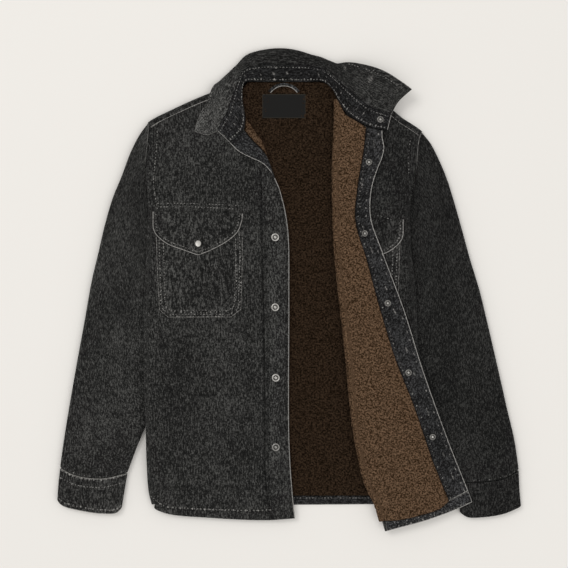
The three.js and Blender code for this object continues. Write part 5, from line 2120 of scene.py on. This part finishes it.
class Graph:
    """The node tree of one material."""

    def __init__(self, name: str) -> None:
        """Makes a material with a Principled shader."""
        self.material = bpy.data.materials.new(name)
        self.material.use_nodes = True
        self.tree = self.material.node_tree
        self.shader = self.tree.nodes["Principled BSDF"]

    def node(self, kind: str, settings: dict[str, object], inputs: dict[str, object]) -> bpy.types.Node:
        """Adds a node.

        Args:
            kind: The node's type.
            settings: Its properties, set first.
            inputs: Values, colours or links of its sockets, by name or number.
        Returns:
            The node.
        """
        node = self.tree.nodes.new(kind)
        for name, value in settings.items():
            setattr(node, name, value)
        for name, value in inputs.items():
            self.plug(node.inputs[name], value)
        return node

    def plug(self, socket: bpy.types.NodeSocket, value: object) -> None:
        """Links a wire or an output to a socket, or sets its value."""
        if isinstance(value, Wire):
            self.tree.links.new(value.socket, socket)
        elif isinstance(value, bpy.types.NodeSocket):
            self.tree.links.new(value, socket)
        else:
            socket.default_value = value

    def math(self, operation: str, *values: Value, clamp: bool = False) -> Wire:
        """A Math node on values."""
        inputs = dict(enumerate(values))
        node = self.node("ShaderNodeMath", {"operation": operation, "use_clamp": clamp}, inputs)
        return Wire(self, node.outputs[0])

    def attribute(self, name: str) -> Wire:
        """A number that the mesh carries at its points."""
        node = self.node("ShaderNodeAttribute", {"attribute_name": name}, {})
        return Wire(self, node.outputs["Fac"])

    def place(self, scale: Sequence[float], shift: Sequence[float] = (0, 0, 0)) -> bpy.types.NodeSocket:
        """The point's place in the flat cloth, scaled on each axis, then shifted."""
        source = self.node("ShaderNodeAttribute", {"attribute_name": "cloth"}, {})
        scaled = self.node(
            "ShaderNodeVectorMath", {"operation": "MULTIPLY_ADD"},
            {0: source.outputs["Vector"], 1: tuple(scale), 2: tuple(shift)},
        )
        return scaled.outputs[0]

    def noise(self, vector: bpy.types.NodeSocket, detail: float = 2.0, rough: float = 0.5) -> Wire:
        """Noise from 0 to 1 about 0.5, one cell a unit."""
        node = self.node(
            "ShaderNodeTexNoise", {}, {"Vector": vector, "Scale": 1.0, "Detail": detail, "Roughness": rough}
        )
        return Wire(self, node.outputs["Fac"])

    def mix(self, share: Value, first: object, second: object, blend: str = "MIX") -> bpy.types.NodeSocket:
        """A mix of two colours."""
        node = self.node("ShaderNodeMix", {"data_type": "RGBA", "blend_type": blend}, {})
        self.plug(node.inputs[0], share)
        self.plug(node.inputs[6], first)
        self.plug(node.inputs[7], second)
        return node.outputs[2]

    def grey(self, value: Wire) -> bpy.types.NodeSocket:
        """A grey of a value."""
        return self.node("ShaderNodeCombineColor", {}, {0: value, 1: value, 2: value}).outputs[0]

    def bump(self, height: Wire, distance: float, strength: float = 1.0) -> None:
        """Feeds a height, in shares of distance, to the shader's normal."""
        node = self.node(
            "ShaderNodeBump", {}, {"Height": height, "Distance": distance, "Strength": strength}
        )
        self.plug(self.shader.inputs["Normal"], node.outputs["Normal"])

    def feed(self, **inputs: object) -> None:
        """Sets or links the shader's sockets, named with _ for a space."""
        for name, value in inputs.items():
            self.plug(self.shader.inputs[name.replace("_", " ")], value)


Colour = tuple[float, float, float]


def rgba(colour: Colour, times: float = 1.0) -> tuple[float, float, float, float]:
    """A linear colour as the sockets take it."""
    return (colour[0] * times, colour[1] * times, colour[2] * times, 1.0)


# ---------------------------------------------------------------------------
# Finishes
# ---------------------------------------------------------------------------
@dataclass(frozen=True)
class DenimFinish:
    """Washed denim: fine uneven streaks along the warp, a twill, and pale rubbed edges."""

    name: str
    dark: Colour
    light: Colour
    worn: Colour
    streak: float = 1.0
    mottle: float = 1.0

    def build(self) -> bpy.types.Material:
        """Makes the material."""
        g = Graph(self.name)
        grain = g.noise(g.place((410, 330, 50)), 3, 0.7)
        streak = g.noise(g.place((430, 120, 50), (3, 7, 0)), 3, 0.65)
        cloud = g.noise(g.place((75, 48, 50), (9, 1, 0)), 3, 0.6)
        wash = g.noise(g.place((14, 9, 50), (5, 5, 0)), 2, 0.5)
        weft = g.noise(g.place((160, 1300, 50), (2, 2, 0)), 1, 0.5)
        twill = self.twill(g)
        tone = (
            (grain - 0.5) * (2.8 * self.mottle) + (streak - 0.5) * (3.2 * self.streak)
            + (cloud - 0.5) * (0.9 * self.mottle) + (wash - 0.5) * 0.6
            + (weft - 0.5) * 0.4 + (twill - 0.5) * 0.16 + 0.47
        ).clamped() ** 2.2
        base = g.mix(tone, rgba(self.dark), rgba(self.light))
        # painted light and shade: the tone attribute multiplies the denim's colour
        multiplier = g.attribute("tone")
        shaded = g.mix(1.0, base, g.grey(multiplier), "MULTIPLY")
        patch = g.noise(g.place((420, 300, 50), (1, 4, 0)), 3, 0.65)
        wear = g.attribute("wear")
        rubbed = (wear * 1.25 + (patch - 0.5) * 1.3 + (grain - 0.5) * 0.8).ramp(0.42, 1.1)
        rubbed = rubbed * wear.ramp(0.05, 0.3)
        g.feed(Base_Color=g.mix(rubbed, shaded, rgba(self.worn)))
        g.feed(Roughness=0.95, Specular_IOR_Level=0.12, Sheen_Weight=0.03, Sheen_Roughness=0.6)
        g.bump(twill * 0.4 + grain * 0.8 + streak * 0.5 + weft * 0.35 + cloud * 0.8, 0.45 * MM, 0.9)
        return g.material

    def twill(self, g: Graph) -> Wire:
        """The twill's diagonal ribs, from 0 to 1."""
        node = g.node(
            "ShaderNodeTexWave", {"bands_direction": "DIAGONAL"},
            {"Vector": g.place((1500, 620, 0)), "Scale": 0.2, "Distortion": 0.6, "Detail": 1.0},
        )
        return Wire(g, node.outputs["Fac"])


@dataclass(frozen=True)
class FleeceFinish:
    """Curled fleece: painted shade between its nubs and painted light on their tops, with fine curled fibres.
    """

    name: str
    deep: Colour
    crest: Colour
    warm: Colour

    def build(self) -> bpy.types.Material:
        """Makes the material."""
        g = Graph(self.name)
        curls = g.noise(g.place((370, 370, 50)), 3, 0.6)
        clump = g.noise(g.place((110, 110, 50), (4, 4, 0)), 2, 0.5)
        height = g.attribute("pile")
        # painted shade: the pile height darkens the hollows between nubs; curls and clumps vary the fleece's
        # own colour
        share = (height * 0.7 + (curls - 0.5) * 4.0 + (clump - 0.5) * 0.3 + 0.12).ramp(-0.15, 1.1)
        colour = g.mix(share, rgba(self.deep), rgba(self.crest))
        colour = g.mix(clump.ramp(0.35, 0.7) * 0.25, colour, g.mix(share, rgba(self.deep), rgba(self.warm)))
        # painted light and shade: the tone attribute multiplies the fleece's colour
        g.feed(Base_Color=g.mix(1.0, colour, g.grey(g.attribute("tone")), "MULTIPLY"), Roughness=0.97)
        g.feed(Specular_IOR_Level=0.04)
        g.bump(curls + clump * 0.6, 0.7 * MM, 0.9)
        return g.material


@dataclass(frozen=True)
class LabelFinish:
    """A dark woven label with a paler woven frame and nothing written on it."""

    name: str
    ground: Colour
    frame: Colour

    def build(self) -> bpy.types.Material:
        """Makes the material."""
        g = Graph(self.name)
        weave = g.noise(g.place((2200, 900, 0)), 2, 0.6)
        rub = g.attribute("wear").ramp(0.1, 0.8)
        base = g.mix((weave - 0.25).clamped(), rgba(self.ground, 0.6), rgba(self.ground, 1.7))
        g.feed(Base_Color=g.mix(rub * 0.7, base, rgba(self.frame)), Roughness=0.8, Specular_IOR_Level=0.2)
        g.bump(weave, 0.2 * MM, 0.7)
        return g.material


@dataclass(frozen=True)
class MetalFinish:
    """Antique silver: bright on the crests, tarnished in the hollows."""

    name: str
    bright: Colour
    tarnish: Colour

    def build(self) -> bpy.types.Material:
        """Makes the material."""
        g = Graph(self.name)
        spots = g.noise(g.place((700, 700, 700)), 3, 0.6)
        share = (g.attribute("pile") * 0.9 + (spots - 0.5) * 0.8 + 0.15).ramp(0.1, 0.85)
        colour = g.mix(share, rgba(self.tarnish), rgba(self.bright))
        # painted light and shade: the tone attribute multiplies the metal's colour
        colour = g.mix(1.0, colour, g.grey(g.attribute("tone")), "MULTIPLY")
        g.feed(Base_Color=colour, Metallic=0.9, Roughness=0.62 - share * 0.26)
        g.bump(spots, 0.08 * MM, 0.6)
        return g.material


@dataclass(frozen=True)
class ThreadFinish:
    """Twisted cotton thread, lighter where it is rubbed."""

    name: str
    dark: Colour
    light: Colour

    def build(self) -> bpy.types.Material:
        """Makes the material."""
        g = Graph(self.name)
        twist = g.noise(g.place((2500, 900, 50)), 1, 0.5)
        rub = g.noise(g.place((140, 140, 50), (8, 8, 0)), 2, 0.5).ramp(0.32, 0.68)
        colour = g.mix((rub + (twist - 0.5) * 0.5).clamped(), rgba(self.dark), rgba(self.light))
        g.feed(Base_Color=colour, Roughness=0.9, Specular_IOR_Level=0.1)
        g.bump(twist, 0.1 * MM, 0.8)
        return g.material


@dataclass(frozen=True)
class FloorFinish:
    """A plain pale floor."""

    name: str
    colour: Colour

    def build(self) -> bpy.types.Material:
        """Makes the material."""
        g = Graph(self.name)
        g.feed(Base_Color=rgba(self.colour), Roughness=0.95, Specular_IOR_Level=0.0)
        return g.material


def make_finishes() -> Finishes:
    """The jacket's materials."""
    worn = (0.33, 0.32, 0.305)
    return Finishes(
        denim=DenimFinish("washed_denim", (0.0042, 0.0042, 0.0041), (0.071, 0.071, 0.068), worn).build(),
        facing=DenimFinish(
            "denim_inside", (0.0045, 0.0046, 0.0049), (0.088, 0.089, 0.092), worn, 0.8, 1.3
        ).build(),
        fleece=FleeceFinish(
            "fleece", (0.020, 0.0105, 0.0042), (0.152, 0.095, 0.058), (0.128, 0.070, 0.039)
        ).build(),
        label=LabelFinish("woven_label", (0.0065, 0.0062, 0.0058), (0.032, 0.028, 0.021)).build(),
        metal=MetalFinish("antique_silver", (0.42, 0.41, 0.39), (0.012, 0.011, 0.010)).build(),
        thread=ThreadFinish("cotton_thread", (0.028, 0.028, 0.027), (0.23, 0.226, 0.216)).build(),
        seam_thread=ThreadFinish("dark_thread", (0.008, 0.008, 0.008), (0.05, 0.05, 0.048)).build(),
    )


# ---------------------------------------------------------------------------
# Floor, light and camera
# ---------------------------------------------------------------------------
@dataclass
class Studio:
    """The pale floor, the soft light and the camera over the jacket."""

    floor_size: float = 6.0
    floor_drop: float = 0.2 * MM  # under the cloth
    height: float = 2.295  # of the camera over the floor
    centre: float = 8.5 * MM  # of the view, towards the collar
    lens: float = 85.0
    sensor: float = 36.0
    sky: tuple[float, float, float, float] = (1.0, 0.985, 0.96, 1.0)
    sky_strength: float = 0.72
    light: Colour = (1.0, 0.99, 0.97)

    def build(self) -> None:
        """Builds the floor, the lamps, the world and the camera."""
        self.floor()
        self.lamp("key", (-2.3, 2.0, 4.2), 2.2, 70.0)
        self.lamp("fill", (2.4, -1.6, 4.5), 4.0, 60.0)
        world = bpy.data.worlds.new("studio")
        bpy.context.scene.world = world
        world.use_nodes = True
        ambient = world.node_tree.nodes["Background"]
        ambient.inputs["Color"].default_value = self.sky
        ambient.inputs["Strength"].default_value = self.sky_strength
        bpy.context.scene.view_settings.view_transform = "Standard"
        self.camera()

    def floor(self) -> None:
        """A plain floor just under the cloth."""
        half = self.floor_size / 2
        mesh = bpy.data.meshes.new("floor")
        corners = [(-half, -half), (half, -half), (half, half), (-half, half)]
        mesh.from_pydata([(x, y, -self.floor_drop) for x, y in corners], [], [(0, 1, 2, 3)])
        mesh.materials.append(FloorFinish("floor", (0.80, 0.783, 0.758)).build())
        floor = in_scene("floor", mesh)

    def lamp(self, name: str, place: Sequence[float], size: float, power: float) -> None:
        """A square soft lamp that faces the jacket.

        Args:
            name: The lamp's name.
            place: Where it hangs.
            size: Its side.
            power: Its power in watts.
        """
        light = bpy.data.lights.new(name, "AREA")
        light.size, light.energy = size, power
        light.color = self.light
        lamp = in_scene(name, light)
        lamp.location = place
        lamp.rotation_euler = (-Vector(place)).to_track_quat("-Z", "Y").to_euler()

    def camera(self) -> None:
        """The camera, straight over the jacket."""
        data = bpy.data.cameras.new("camera")
        data.lens, data.sensor_width = self.lens, self.sensor
        camera = in_scene("camera", data)
        camera.location = (0, self.centre, self.height)
        bpy.context.scene.camera = camera


def main() -> None:
    """Builds the jacket piece by piece, then the studio."""
    logging.basicConfig(level=logging.INFO, format="%(message)s")
    Studio().build()
    finishes = make_finishes()
    # painted light and shade: the sleeve and pocket on the -X side, towards the key lamp, are lightened,
    # those on the +X side darkened
    Sleeve("right", RIGHT_SLEEVE, finishes, 1.06).build()
    Sleeve("left", LEFT_SLEEVE, finishes, 0.6, (0.35, 0.3, 0.4)).build()
    Back(finishes).build()
    RightFront(finishes).build()
    LeftFront(finishes).build()
    for side, tone in (("right", 1.12), ("left", 0.7)):
        Pocket(side, finishes, tone).build()
    Collar(finishes).build()
    NeckDetails(finishes).build()
    Snaps(finishes).build()


if __name__ == "__main__":
    main()
